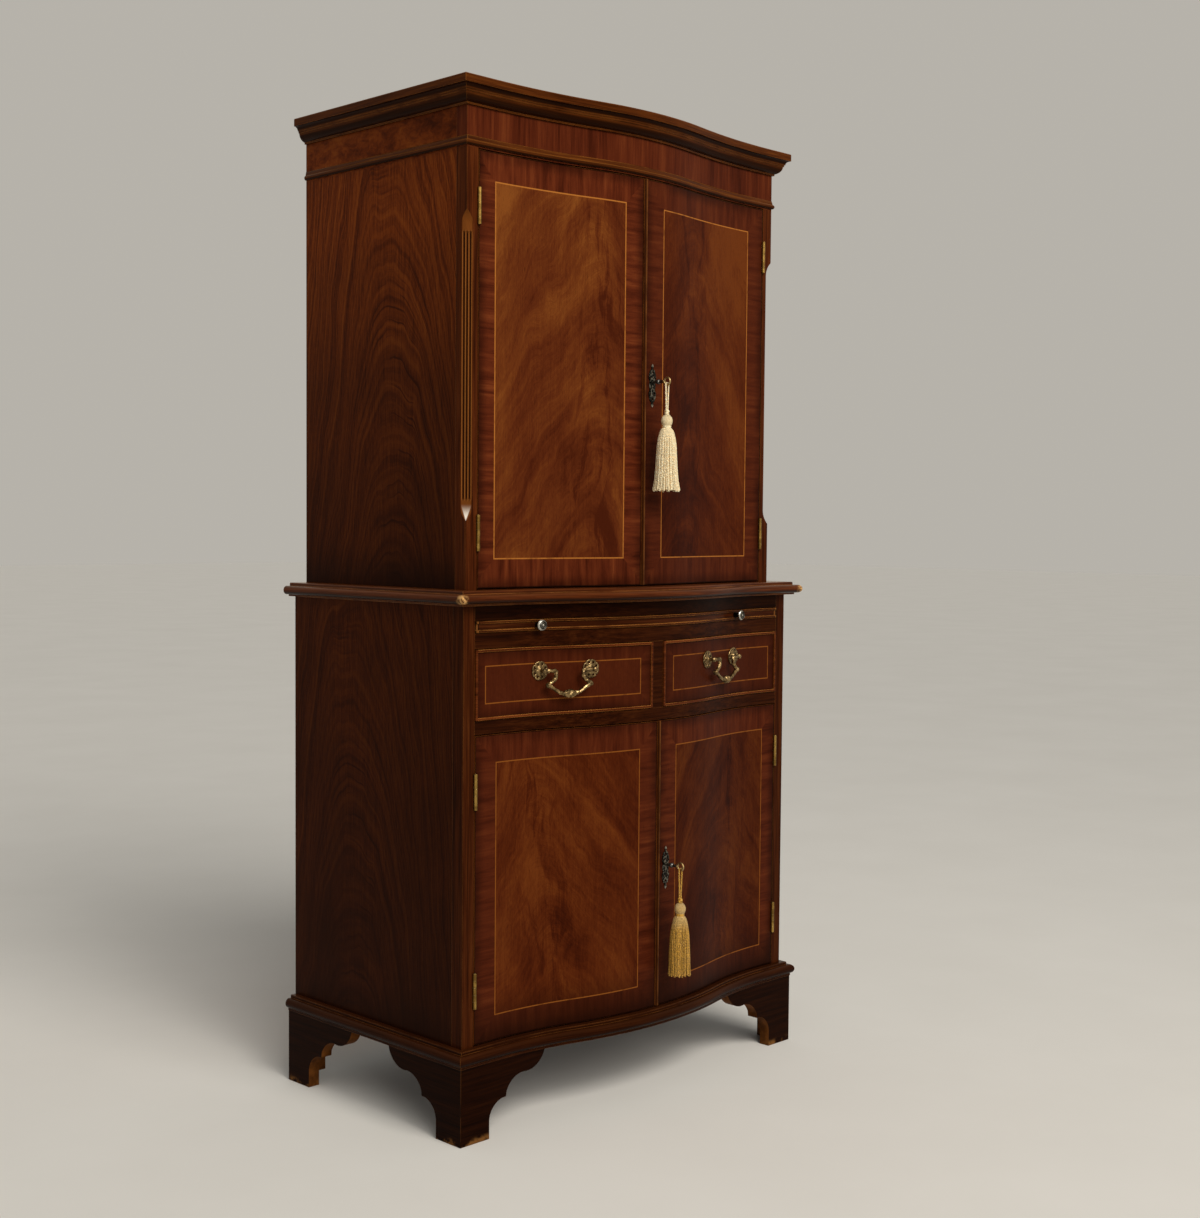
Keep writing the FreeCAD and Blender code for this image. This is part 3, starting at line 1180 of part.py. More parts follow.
# The cabinet
parts = make_sides("upper", "upper_top") + make_sides("lower", "lower_top")
parts += make_posts() + make_boards() + make_shelves()
parts += [mitred_lengths("cornice", "upper", cornice_profile),
          mitred_lengths("frieze_bead", "upper", bead_profile),
          make_waist_board(),
          mitred_lengths("base_frame", "lower", base_profile)]
parts += make_feet() + make_doors() + make_hinges() + make_locks() + make_tassels()
parts += make_drawers() + make_handles() + make_slide()
doc.recompute()

# Checks and files
for item in doc.Objects:
    if any(word in item.State for word in ("Invalid", "Error")):
        raise RuntimeError(f"{item.Label} failed: {item.State}")
labels = [item.Label for item in parts]
if len(set(labels)) != len(labels):
    raise RuntimeError("two sub-parts share a label")
for item in parts:
    shape = item.Shape
    if shape.isNull() or not shape.isValid() or not shape.Solids:
        raise RuntimeError(f"{item.Label} has no valid solid")
    shape.exportStep(f"parts/{item.Label}.step")
print(len(parts), "sub-parts,", sum(len(item.Shape.Solids) for item in parts), "solids")
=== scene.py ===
# %% [markdown]
# # A serpentine bar cabinet in flame mahogany
# The cabinet is two cases, one on the other. Their shapes, sizes and joints are already made as solids.
# This lesson dresses them: it paints the veneers, mouldings and brass, and models what a solid leaves
# plain, such as tassels and chased mounts.

# %% Bring in the cabinet
import math
import random

import bmesh
import bpy
from mathutils import Euler, Matrix, Vector


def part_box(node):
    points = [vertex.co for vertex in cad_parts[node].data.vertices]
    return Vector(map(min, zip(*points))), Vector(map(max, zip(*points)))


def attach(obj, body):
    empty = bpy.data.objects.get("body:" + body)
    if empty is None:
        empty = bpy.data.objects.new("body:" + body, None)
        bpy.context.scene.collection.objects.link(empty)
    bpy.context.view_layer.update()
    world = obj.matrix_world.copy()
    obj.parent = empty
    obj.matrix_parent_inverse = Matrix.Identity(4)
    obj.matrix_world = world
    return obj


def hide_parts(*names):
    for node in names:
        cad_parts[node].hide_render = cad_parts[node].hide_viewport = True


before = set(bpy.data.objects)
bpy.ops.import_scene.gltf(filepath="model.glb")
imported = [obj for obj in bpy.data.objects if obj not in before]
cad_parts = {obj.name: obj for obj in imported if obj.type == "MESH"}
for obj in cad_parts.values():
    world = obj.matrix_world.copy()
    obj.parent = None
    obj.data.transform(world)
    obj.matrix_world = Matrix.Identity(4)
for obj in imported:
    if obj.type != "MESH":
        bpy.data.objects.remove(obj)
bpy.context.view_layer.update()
scene = bpy.context.scene

# %% [markdown]
# The camera stands to the left of the cabinet, a little over half its height, and looks along the
# diagonal, so that the front and the left side both show. Its place and turn come from matching the
# corners of the cases, the feet and the mouldings with the photograph.

# %% Camera
IMAGE_HEIGHT = 1218
FOCAL_LENGTH = 1704.68
EYE = Vector((-2.0147, -2.0762, 0.9282))
YAW, PITCH, ROLL = (math.radians(angle) for angle in (45.2716, -2.8738, -0.4737))


def camera_axes():
    """Right, up and backward directions of the camera."""
    ahead = Vector((math.sin(YAW) * math.cos(PITCH), math.cos(YAW) * math.cos(PITCH), math.sin(PITCH)))
    level = Vector((math.cos(YAW), -math.sin(YAW), 0))
    below = ahead.cross(level)
    right = math.cos(ROLL) * level + math.sin(ROLL) * below
    down = math.cos(ROLL) * below - math.sin(ROLL) * level
    return right, -down, -ahead


view = bpy.data.cameras.new("photograph_view")
view.sensor_width = 36
view.lens = FOCAL_LENGTH / IMAGE_HEIGHT * view.sensor_width
view.clip_start, view.clip_end = 0.05, 60
camera = bpy.data.objects.new("photograph_view", view)
scene.collection.objects.link(camera)
camera.matrix_world = Matrix.Translation(EYE) @ Matrix(camera_axes()).transposed().to_4x4()
scene.camera = camera
print("lens in mm:", round(view.lens, 2))

# %% [markdown]
# Each key wears a silk tassel on a short doubled cord. The cord goes up from the tassel's knot, over the
# key's ring and back down, under the tassel's weight. It is a smooth spline through the few points of
# that route. The points carry the thickness as their radius, so the bevel itself is 1. The strands of the
# tassels use the same call later.

# %% Cords
CORD_RADIUS = 0.0013
HALF_APART = 0.0017
RING_SIDE, RING_TOP = 0.0033, 0.0033
CORD_DROPS = {"upper": 0.040, "lower": 0.045}


def cord_route(drop):
    """Points (across, up) from one end, over the ring, to the other end."""
    half = [(HALF_APART, -drop), (HALF_APART, 0.006 - drop), (RING_SIDE, -0.0012), (RING_SIDE, RING_TOP)]
    return half + [(0, RING_TOP)] + [(-across, up) for across, up in reversed(half)]


def draw_lines(name, paths, along, round_it):
    """One smooth tube for each path and its radius; along and round_it are how finely the tubes are cut."""
    line = bpy.data.curves.new(name, "CURVE")
    line.dimensions = "3D"
    line.bevel_depth = 1
    line.bevel_resolution = round_it
    for path, radius in paths:
        run = line.splines.new("NURBS")
        run.points.add(len(path) - 1)
        for point, spot in zip(run.points, path):
            point.co = (*spot, 1)
            point.radius = radius
        run.order_u = 3
        run.use_endpoint_u = True
        run.resolution_u = along
    tubes = bpy.data.objects.new(name, line)
    scene.collection.objects.link(tubes)
    return tubes


def lay_cord(case):
    """The doubled cord of one tassel, on the middle plane of the key's ring."""
    low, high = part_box(f"{case}_tassel_cord")
    top = high.z - CORD_RADIUS - RING_TOP
    middle = (low + high) / 2
    route = [(middle.x + across, middle.y, top + up) for across, up in cord_route(CORD_DROPS[case])]
    cord = draw_lines(f"{case}_hanging_cord", [(route, CORD_RADIUS)], along=10, round_it=4)
    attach(cord, f"{case}_tassel_body")
    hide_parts(f"{case}_tassel_cord")
    return cord, route[0]


cords = {case: lay_cord(case) for case in CORD_DROPS}
print("cords:", [cord.name for cord, start in cords.values()])

# %% [markdown]
# The finishes are made of nodes, and in a node tree even a sum is a node. A small class lets them be
# written as plain sums all the same: adding or scaling two of its values puts in the Math node that does
# it.

# %% Values that add up
class Value:
    """A number, vector or colour on its way from node to node."""

    def __init__(self, bench, socket):
        self.bench, self.socket = bench, socket

    def __add__(self, other):
        return self.bench.sum("ADD", self, other)

    def __sub__(self, other):
        return self.bench.sum("SUBTRACT", self, other)

    def __rsub__(self, other):
        return self.bench.sum("SUBTRACT", other, self)

    def __mul__(self, other):
        return self.bench.sum("MULTIPLY", self, other)

    def __truediv__(self, other):
        return self.bench.sum("DIVIDE", self, other)

    def __abs__(self):
        return self.bench.sum("ABSOLUTE", self)

    __radd__, __rmul__ = __add__, __mul__


print("ready for sums:", Value.__name__)

# %% [markdown]
# A few more short calls keep the node trees readable. One adds a node, feeds its inputs and gives one
# output. The others do soft steps, noise and colour mixes with it.

# %% Calls for building nodes
class Bench:
    """A node tree on the workbench."""

    def __init__(self, tree):
        self.tree = tree

    def node(self, kind, **settings):
        item = self.tree.nodes.new(kind)
        for key, value in settings.items():
            setattr(item, key, value)
        return item

    def feed(self, socket, value):
        if isinstance(value, Value):
            self.tree.links.new(value.socket, socket)
        elif value is not None:
            socket.default_value = (*value, 1) if socket.type == "RGBA" else value

    def values(self, item):
        """All that a node gives, by name."""
        return {socket.name: Value(self, socket) for socket in item.outputs}

    def result(self, kind, inputs, output=0, **settings):
        """Adds a node, feeds its inputs and gives one output."""
        item = self.node(kind, **settings)
        for key, value in inputs.items():
            self.feed(item.inputs[key], value)
        return Value(self, item.outputs[output])

    def sum(self, operation, a, b=None):
        return self.result("ShaderNodeMath", {0: a, 1: b}, operation=operation)

    def far(self, a, b):
        """Distance of the point a, b from zero."""
        return self.sum("SQRT", a * a + b * b)

    def step(self, value, low, high, start=0.0, end=1.0, kind="SMOOTHSTEP"):
        """Goes from start to end while the value goes from low to high."""
        inputs = {"Value": value, "From Min": low, "From Max": high, "To Min": start, "To Max": end}
        return self.result("ShaderNodeMapRange", inputs, "Result", interpolation_type=kind, clamp=True)

    def fade(self, value, low, high):
        return self.step(value, low, high, 1.0, 0.0)

    def limit(self, value):
        """The value, kept between 0 and 1."""
        return self.step(value, 0.0, 1.0, kind="LINEAR")

    def split(self, vector):
        item = self.node("ShaderNodeSeparateXYZ")
        self.feed(item.inputs[0], vector)
        return [Value(self, socket) for socket in item.outputs]

    def join(self, x=0.0, y=0.0, z=0.0):
        return self.result("ShaderNodeCombineXYZ", {0: x, 1: y, 2: z})

    def stretch(self, vector, scale):
        return self.result("ShaderNodeVectorMath", {0: vector, 1: scale}, operation="MULTIPLY")

    def noise(self, vector, detail=3.0, rough=0.5, twist=0.0, scale=1.0, colour=False):
        inputs = {"Vector": vector, "Scale": scale, "Detail": detail, "Roughness": rough,
                  "Distortion": twist}
        return self.result("ShaderNodeTexNoise", inputs, "Color" if colour else "Fac")

    def blend(self, share, a, b):
        return self.result("ShaderNodeMix", {0: share, 6: a, 7: b}, 2, data_type="RGBA")

    def choose(self, share, a, b):
        return self.result("ShaderNodeMix", {0: share, 4: a, 5: b}, 1, data_type="VECTOR")

    def shades(self, value, stops):
        item = self.node("ShaderNodeValToRGB")
        entries = item.color_ramp.elements
        while len(entries) < len(stops):
            entries.new(0.5)
        for entry, (place, colour) in zip(entries, stops):
            entry.position = place
            entry.color = (*colour, 1)
        self.feed(item.inputs[0], value)
        return Value(self, item.outputs[0])

    def use(self, group, **values):
        item = self.node("ShaderNodeGroup", node_tree=group)
        for key, value in values.items():
            self.feed(item.inputs[key.capitalize()], value)
        return self.values(item)

    def emboss(self, shader, height, strength, distance, rounded=None):
        """Bends the shader's normal by a height."""
        inputs = {"Strength": strength, "Distance": distance, "Height": height, "Normal": rounded}
        self.feed(shader["Normal"], self.result("ShaderNodeBump", inputs))


def new_effect(name, inputs, outputs):
    """A node group with named inputs and outputs, and its bench."""
    group = bpy.data.node_groups.new(name, "ShaderNodeTree")
    for label, kind, value in inputs:
        socket = group.interface.new_socket(name=label, in_out="INPUT", socket_type=f"NodeSocket{kind}")
        if kind != "Vector":
            socket.default_value = value
    for label, kind in outputs:
        group.interface.new_socket(name=label, in_out="OUTPUT", socket_type=f"NodeSocket{kind}")
    bench = Bench(group)
    return group, bench, bench.values(bench.node("NodeGroupInput")), bench.node("NodeGroupOutput").inputs


# %% [markdown]
# All wood is fibres. Seen close, mahogany has long soft streaks, a silky finer streak and short dark
# pores. The group below makes them along its third axis, so a finish turns its coordinates until that
# axis lies along the grain.

# %% Effect: wood fibres
fibres, make, given, out = new_effect(
    "wood_fibres", [("Vector", "Vector", None), ("Coarse", "Float", 1.0)],
    [("Streak", "Float"), ("Pore", "Float")])
coarse = make.noise(make.stretch(given["Vector"], (150, 150, 5)), 4, 0.6, 0.3)
silky = make.noise(make.stretch(given["Vector"], (620, 620, 16)), 3, 0.6)
make.feed(out["Streak"], 0.5 + (coarse - 0.5) * given["Coarse"] + (silky - 0.5) * 0.7)
specks = make.noise(make.stretch(given["Vector"], (1500, 1500, 110)), 2, 0.5)
make.feed(out["Pore"], make.step(specks, 0.60, 0.72))
print("effect:", fibres.name)

# %% [markdown]
# The sides of the cases are cut flat from the log, so the year rings show as tall nested arches. Arches
# that repeat up the board are level lines of height plus a share of the distance from the middle,
# squared. Noise shakes them, and thin dark lines mark the ends of some years.

# %% Effect: cathedral figure of the sides
ARCH_STEEPNESS = 19.0
cathedral, make, given, out = new_effect(
    "cathedral_figure", [("Across", "Float", 0.0), ("Up", "Float", 0.0)],
    [("Figure", "Float"), ("Lines", "Float")])
place = make.join(given["Across"], 0.0, given["Up"])
shake = make.split(make.noise(make.stretch(place, (7, 7, 2.2)), 3, 0.5, colour=True))
across = given["Across"] + (shake[0] - 0.5) * 0.09
level = given["Up"] + across * across * ARCH_STEEPNESS + (shake[1] - 0.5) * 0.16
make.feed(out["Figure"], make.noise(make.join(across * 3.0, 0.0, level * 42.0), 3, 0.55))
fine = make.noise(make.join(across * 9.0, 4.0, level * 120.0), 2, 0.5)
patchy = make.step(make.noise(make.stretch(place, (9, 9, 4)), 2, 0.5), 0.42, 0.62)
make.feed(out["Lines"], make.step(fine, 0.56, 0.68) * patchy)
print("effect:", cathedral.name)

# %% [markdown]
# The door fields are flame veneer, cut where the trunk forks. Light and dark feathers sweep down and
# outward from a plume near the middle. Here the level lines of height plus distance from the plume give
# the feathers: broad soft clouds stretched along them, darker veins near the plume, and a faint fine
# grain.

# %% Effect: flame figure of the doors
FEATHER_SLOPE = 1.5
flame, make, given, out = new_effect(
    "flame_figure", [("Across", "Float", 0.0), ("Up", "Float", 0.0), ("Seed", "Float", 0.0)],
    [("Figure", "Float"), ("Veins", "Float")])
seed = given["Seed"]
place = make.stretch(make.join(given["Across"], seed, given["Up"]), (5, 1, 3))
shake = make.split(make.noise(place, 4, 0.55, colour=True))
across = given["Across"] + (shake[0] - 0.5) * 0.14
up = given["Up"] + (shake[1] - 0.5) * 0.16
away = make.sum("SQRT", across * across + 0.0006)
crest = up + away * FEATHER_SLOPE
clouds = make.noise(make.join(across * 7.0, seed, crest * 8.0), 4, 0.55, 0.6)
feathers = make.noise(make.join(across * 16.0, seed, crest * 60.0), 3, 0.6, 0.4)
grain = make.noise(make.join(across * 60.0, seed, crest * 520.0), 2, 0.6)
make.feed(out["Figure"], clouds + (feathers - 0.5) * 0.42 + (grain - 0.5) * 0.28)
veins = make.noise(make.join(across * 46.0, seed, up * 7.0), 4, 0.65, 0.8)
make.feed(out["Veins"], make.step(veins, 0.50, 0.66) * make.fade(away, 0.015, 0.085))
print("effect:", flame.name)

# %% [markdown]
# Every front is framed the same way: a thin string of pale wood, and outside it a band whose grain runs
# square to the edge. The group measures how far a point lies inside a rectangle, and whether the nearest
# edge is an upright one. The string, the field and the mitred band all follow from those two numbers.

# %% Effect: distance inside a frame
inside_frame, make, given, out = new_effect(
    "inside_frame", [("Across", "Float", 0.0), ("Up", "Float", 0.0), ("Left", "Float", -0.1),
                     ("Right", "Float", 0.1), ("Bottom", "Float", 0.0), ("Top", "Float", 1.0)],
    [("Inside", "Float"), ("Upright", "Float")])
beside = make.sum("MINIMUM", given["Across"] - given["Left"], given["Right"] - given["Across"])
above = make.sum("MINIMUM", given["Up"] - given["Bottom"], given["Top"] - given["Up"])
make.feed(out["Inside"], make.sum("MINIMUM", beside, above))
make.feed(out["Upright"], make.sum("LESS_THAN", beside, above))
print("effect:", inside_frame.name)

# %% [markdown]
# Handling wears the polish off the sharp edges first, and there the pale wood or bright metal shows
# through. A bevelled normal differs from the true one only near an edge, which gives the mask, and noise
# breaks it up. The same bevelled normal, fed to the shader, lets every edge catch the light as a real one
# does.

# %% Effect: worn edges
worn, make, given, out = new_effect(
    "worn_edges", [("Vector", "Vector", None), ("Radius", "Float", 0.0012), ("Patchy", "Float", 30.0)],
    [("Wear", "Float"), ("Rounded", "Vector")])
rounded = make.result("ShaderNodeBevel", {"Radius": given["Radius"]}, samples=4)
true = make.values(make.node("ShaderNodeNewGeometry"))["Normal"]
likeness = make.result("ShaderNodeVectorMath", {0: rounded, 1: true}, "Value", operation="DOT_PRODUCT")
patches = make.noise(given["Vector"], 4, 0.6, scale=given["Patchy"])
make.feed(out["Wear"], make.step(likeness, 0.97, 0.80) * make.step(patches, 0.28, 0.56))
make.feed(out["Rounded"], rounded)
print("effect:", worn.name)

# %% [markdown]
# Old polish isn't even. Broad hand-rubbed clouds, and a trace of dust and fingermarks, change how sharp
# it shines from place to place.

# %% Effect: hand polish
polish, make, given, out = new_effect(
    "hand_polish", [("Vector", "Vector", None), ("Base", "Float", 0.34), ("Spread", "Float", 0.10)],
    [("Roughness", "Float")])
clouds = make.noise(given["Vector"], 4, 0.6, scale=7.0)
marks = make.noise(given["Vector"], 3, 0.6, scale=90.0)
make.feed(out["Roughness"], given["Base"] + (clouds - 0.5 + (marks - 0.5) * 0.5) * given["Spread"])
print("effect:", polish.name)

# %% [markdown]
# A wood finish puts these together. The colours run from a dark vein to the lightest figure. Pores darken
# it, and worn edges lighten it. The colours are warm red browns, kept deep, because the polish adds its
# own sheen. That sheen is warm too, since old polish is amber.

# %% Shared parts of the wood finishes
RED_FLAME = [(0.26, (0.0270, 0.0040, 0.0012)), (0.43, (0.0500, 0.0080, 0.0018)),
             (0.57, (0.0770, 0.0142, 0.0028)), (0.76, (0.1200, 0.0275, 0.0048))]
GOLDEN_FLAME = [(0.24, (0.0500, 0.0084, 0.0024)), (0.42, (0.0860, 0.0172, 0.0042)),
                (0.57, (0.1200, 0.0285, 0.0058)), (0.76, (0.1800, 0.0520, 0.0095))]
BAND = [(0.26, (0.0420, 0.0068, 0.0022)), (0.44, (0.0740, 0.0128, 0.0040)),
        (0.58, (0.0990, 0.0185, 0.0054)), (0.78, (0.1450, 0.0320, 0.0086))]
SIDE = [(0.26, (0.0450, 0.0075, 0.0014)), (0.44, (0.1030, 0.0185, 0.0030)),
        (0.58, (0.1580, 0.0315, 0.0046)), (0.78, (0.2200, 0.0530, 0.0074))]
SOLID = [(0.26, (0.0220, 0.0042, 0.0010)), (0.44, (0.0470, 0.0092, 0.0020)),
         (0.58, (0.0740, 0.0156, 0.0032)), (0.78, (0.1150, 0.0290, 0.0058))]
OPEN_PORE, PALE_ARRIS = (0.010, 0.002, 0.001), (0.20, 0.070, 0.014)
BOXWOOD, AMBER_STRING = (0.36, 0.125, 0.022), (0.21, 0.064, 0.010)
WOOD_SHINE = {"Specular_IOR_Level": 0.028, "Specular_Tint": (1.0, 0.62, 0.38)}


def toned(shades, share):
    """The same shades, scaled by one share or by one each for red, green and blue."""
    shares = share if isinstance(share, tuple) else (share,) * 3
    return [(place, tuple(part * each for part, each in zip(shade, shares))) for place, shade in shades]


def new_finish(name, slot, **shine):
    """A material with its bench, its shader's inputs and the coordinates of the piece."""
    material = bpy.data.materials.new(name)
    material.use_nodes = True
    material.node_tree.nodes.clear()
    material["slot"] = slot
    bench = Bench(material.node_tree)
    shader = bench.node("ShaderNodeBsdfPrincipled")
    bench.feed(bench.node("ShaderNodeOutputMaterial").inputs["Surface"], bench.values(shader)["BSDF"])
    for key, value in shine.items():
        bench.feed(shader.inputs[key.replace("_", " ")], value)
    return material, bench, shader.inputs, bench.values(bench.node("ShaderNodeTexCoord"))


def finish_wood(bench, shader, spot, colour, pore, rounded=0.0012, patchy=30.0, worn_share=0.75, gloss=0.34,
                arris=PALE_ARRIS):
    """Adds pores, worn edges and polish to a wood colour."""
    edge = bench.use(worn, vector=spot["Object"], radius=rounded, patchy=patchy)
    dark = bench.blend(pore * 0.45, colour, OPEN_PORE)
    bench.feed(shader["Base Color"], bench.blend(edge["Wear"] * worn_share, dark, arris))
    bench.feed(shader["Roughness"], bench.use(polish, vector=spot["Object"], base=gloss)["Roughness"])
    bench.emboss(shader, 1.0 - pore, 0.12, 0.0002, edge["Rounded"])


print("shades per wood:", len(SOLID))

# %% [markdown]
# Straight-grained mahogany serves the posts, rails, mouldings and inner boards. Its versions differ in
# which way the fibres run, in depth of tone, and in a touch of their own that some pieces get: painted
# highlight and shade on the flutes, painted shade in hollows, corners rubbed bare with a painted glint, and
# painted beads beside painted shadow lines.

# %% Straight-grained mahogany
GRAIN_TURNS = {"upright": lambda x, y, z: (x, y, z), "across": lambda x, y, z: (z, y, x),
               "around": lambda x, y, z: (z, 0.0, x + y * 0.93), "depth": lambda x, y, z: (x, z, y)}


def straight_mahogany(name, grain, shades, slot="flame_mahogany", shine=WOOD_SHINE, extra=None, edges=None,
                      **finish):
    """extra changes the colour before pores and wear are added; edges gives the tone of the wear."""
    material, bench, shader, spot = new_finish(name, slot, **shine)
    parts = bench.split(spot["Object"])
    grainy = bench.use(fibres, vector=bench.join(*GRAIN_TURNS[grain](*parts)), coarse=1.0)
    colour = bench.shades(grainy["Streak"], shades)
    if extra:
        colour = extra(bench, parts, bench.split(spot["Normal"]), colour)
    if edges:
        finish["arris"] = edges(bench, parts)
    finish_wood(bench, shader, spot, colour, grainy["Pore"], **finish)
    return material


print("ways of the grain:", list(GRAIN_TURNS))

# %% [markdown]
# The touches come first, each a small function. It gets the coordinates of a point, the way its surface
# faces and its colour so far, and gives the new colour.

# %% Touches for posts and mouldings
FLUTE_PITCH = 0.0047
FLUTES_FOOT, FLUTES_TOP = 0.958, 1.354
CANT_HALF_WIDTH = 0.0068
TONGUE_TIP = 0.9305


def fluted(bench, parts, facing, colour):
    """Golden painted highlights on cants and flute ridges, painted shade in grooves, a glint on the tongue.
    """
    low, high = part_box("upper_posts")
    x, y, z = parts
    across = (abs(x) + y) * (1 / math.sqrt(2)) - (high.x + low.y) / math.sqrt(2)
    wave = bench.sum("COSINE", across * (2 * math.pi / FLUTE_PITCH))
    canted = bench.step(abs(facing[0]) * abs(facing[1]), 0.10, 0.30)
    canted = canted * bench.fade(abs(across), CANT_HALF_WIDTH, CANT_HALF_WIDTH + 0.0012)
    # Painted highlight over the canted faces.
    colour = bench.blend(canted * 0.55, colour, (0.200, 0.062, 0.011))
    here = (bench.step(z, FLUTES_FOOT, FLUTES_FOOT + 0.008)
            * bench.fade(z, FLUTES_TOP, FLUTES_TOP + 0.008) * canted)
    # Painted shade in the grooves of the flutes, painted highlight on their ridges.
    colour = bench.blend(here * bench.step(wave, 0.0, 0.7), colour, (0.010, 0.0024, 0.0008))
    colour = bench.blend(here * bench.step(wave, -0.45, -0.95), colour, (0.27, 0.095, 0.018))
    # A painted glint on the tongue at the foot of the flutes, narrowing toward its tip.
    narrow = bench.fade(abs(across) - ((z - TONGUE_TIP) * 0.34 + 0.0002), -0.0012, 0.0006)
    return bench.blend(bench.fade(z, 0.934, 0.956) * narrow * canted * 0.9, colour, (0.84, 0.76, 0.64))


def hollowed(bench, parts, facing, colour, lit=0.55, tone=(0.200, 0.066, 0.011)):
    """Painted shade under the mouldings and in their hollows, painted light on the small ledges."""
    # Painted shade on faces turned down, painted light on ledges turned up.
    colour = bench.blend(bench.step(facing[2], -0.08, -0.45) * 0.86, colour, (0.0080, 0.0018, 0.0005))
    return bench.blend(bench.step(facing[2], 0.30, 0.75) * lit, colour, tone)


def shaded_ledges(bench, parts, facing, colour):
    """The base moulding lies in shade, so its ledges stay dark and red."""
    return hollowed(bench, parts, facing, colour, 0.35, (0.052, 0.014, 0.0036))


def corner_wear_and_glint(bench, parts, facing, colour):
    """The hollows of a moulding, and pale mitred corners: partly wood rubbed bare, partly a painted glint.
    """
    colour = hollowed(bench, parts, facing, colour, 0.45, (0.105, 0.030, 0.0070))
    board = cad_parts["waist_board"]
    spots = [board.matrix_world @ vert.co for vert in board.data.vertices]
    corner = min(spots, key=lambda spot: spot.x + spot.y)
    far = bench.far(abs(parts[0]) + corner.x, parts[1] - corner.y)
    rubbed = bench.step(bench.noise(bench.join(*parts), 4, 0.65, scale=170.0), 0.44, 0.60)
    # Pale spots at the mitred corners, partly rubbed wood and partly a painted glint.
    return bench.blend(bench.fade(far, 0.003, 0.016) * rubbed, colour, (0.62, 0.34, 0.12))


print("touches:", [touch.__name__ for touch in (fluted, hollowed, shaded_ledges, corner_wear_and_glint)])

# %% [markdown]
# Beads on a front end in a dark quirk, painted as a shadow line. The worn edges of a drawer's bead are
# painted lit along its top and bottom and shaded down its ends. The feet were sawn out and never polished
# there.

# %% Touches for beads and feet
SHADOW_LINE = (0.006, 0.0015, 0.0005)
BEAD_INNER_END, BEAD_OUTER_END = 0.0165, 0.3480


def ended(bench, parts, facing, colour):
    """Painted beads at both ends of the slide's front: a painted highlight on each, shadow lines in the
    quirks.
    """
    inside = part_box("slide_front")[1].x - abs(parts[0])
    colour = bench.blend(bench.fade(inside, 0.0012, 0.0016), colour, SHADOW_LINE)
    on_bead = bench.step(inside, 0.0016, 0.0020) * bench.fade(inside, 0.0046, 0.0052)
    # The bead's golden colour is a painted highlight.
    colour = bench.blend(on_bead * 0.8, colour, (0.175, 0.062, 0.013))
    quirk = bench.step(inside, 0.0050, 0.0054) * bench.fade(inside, 0.0066, 0.0074)
    return bench.blend(quirk * 0.85, colour, SHADOW_LINE)


def dim_ends(bench, parts):
    """Worn edges of a drawer's bead: painted highlight along its top and bottom, painted shade down its
    ends.
    """
    beside = abs(parts[0])
    ends = bench.sum("MAXIMUM", bench.fade(beside, BEAD_INNER_END, BEAD_INNER_END + 0.001),
                     bench.step(beside, BEAD_OUTER_END, BEAD_OUTER_END + 0.001))
    # Painted highlight on the top and bottom edges, painted shade on the ends.
    return bench.blend(ends, (0.52, 0.200, 0.042), (0.060, 0.017, 0.004))


def sawn(bench, parts, facing, colour):
    """Bare orange wood on the sawn scrolls of the feet and along their scuffed soles."""
    x, y, z = parts
    inward = bench.sum("SIGN", x) * facing[0]
    inside = bench.sum("MAXIMUM", bench.step(inward, -0.35, -0.6), bench.step(facing[2], -0.3, -0.6))
    back = bench.step(facing[1], -0.35, -0.6) * bench.step(y, 0.0, 0.02)
    rubbed = bench.noise(bench.join(x, y, z), 4, 0.6, scale=45.0)
    bare = bench.sum("MAXIMUM", inside, back) * bench.step(rubbed, 0.30, 0.62, 0.35, 0.95)
    colour = bench.blend(bare, colour, (0.135, 0.044, 0.009))
    scuff = bench.fade(z, 0.003, 0.012) * bench.step(rubbed, 0.44, 0.56)
    return bench.blend(scuff, colour, (0.150, 0.062, 0.016))


print("touches:", [touch.__name__ for touch in (ended, dim_ends, sawn)])

# %% [markdown]
# A table then lists the straight-grained finishes: the way of the grain, the depth of tone, and what is
# special.

# %% Straight-grained finishes
MOULDING = {"shine": {"Specular_IOR_Level": 0.045, "Specular_Tint": (1.0, 0.60, 0.32)}}
NOSE = {"shine": {"Specular_IOR_Level": 0.10, "Specular_Tint": (1.0, 0.62, 0.34)}}
BROAD_WEAR = {"worn_share": 0.90, "patchy": 18.0}
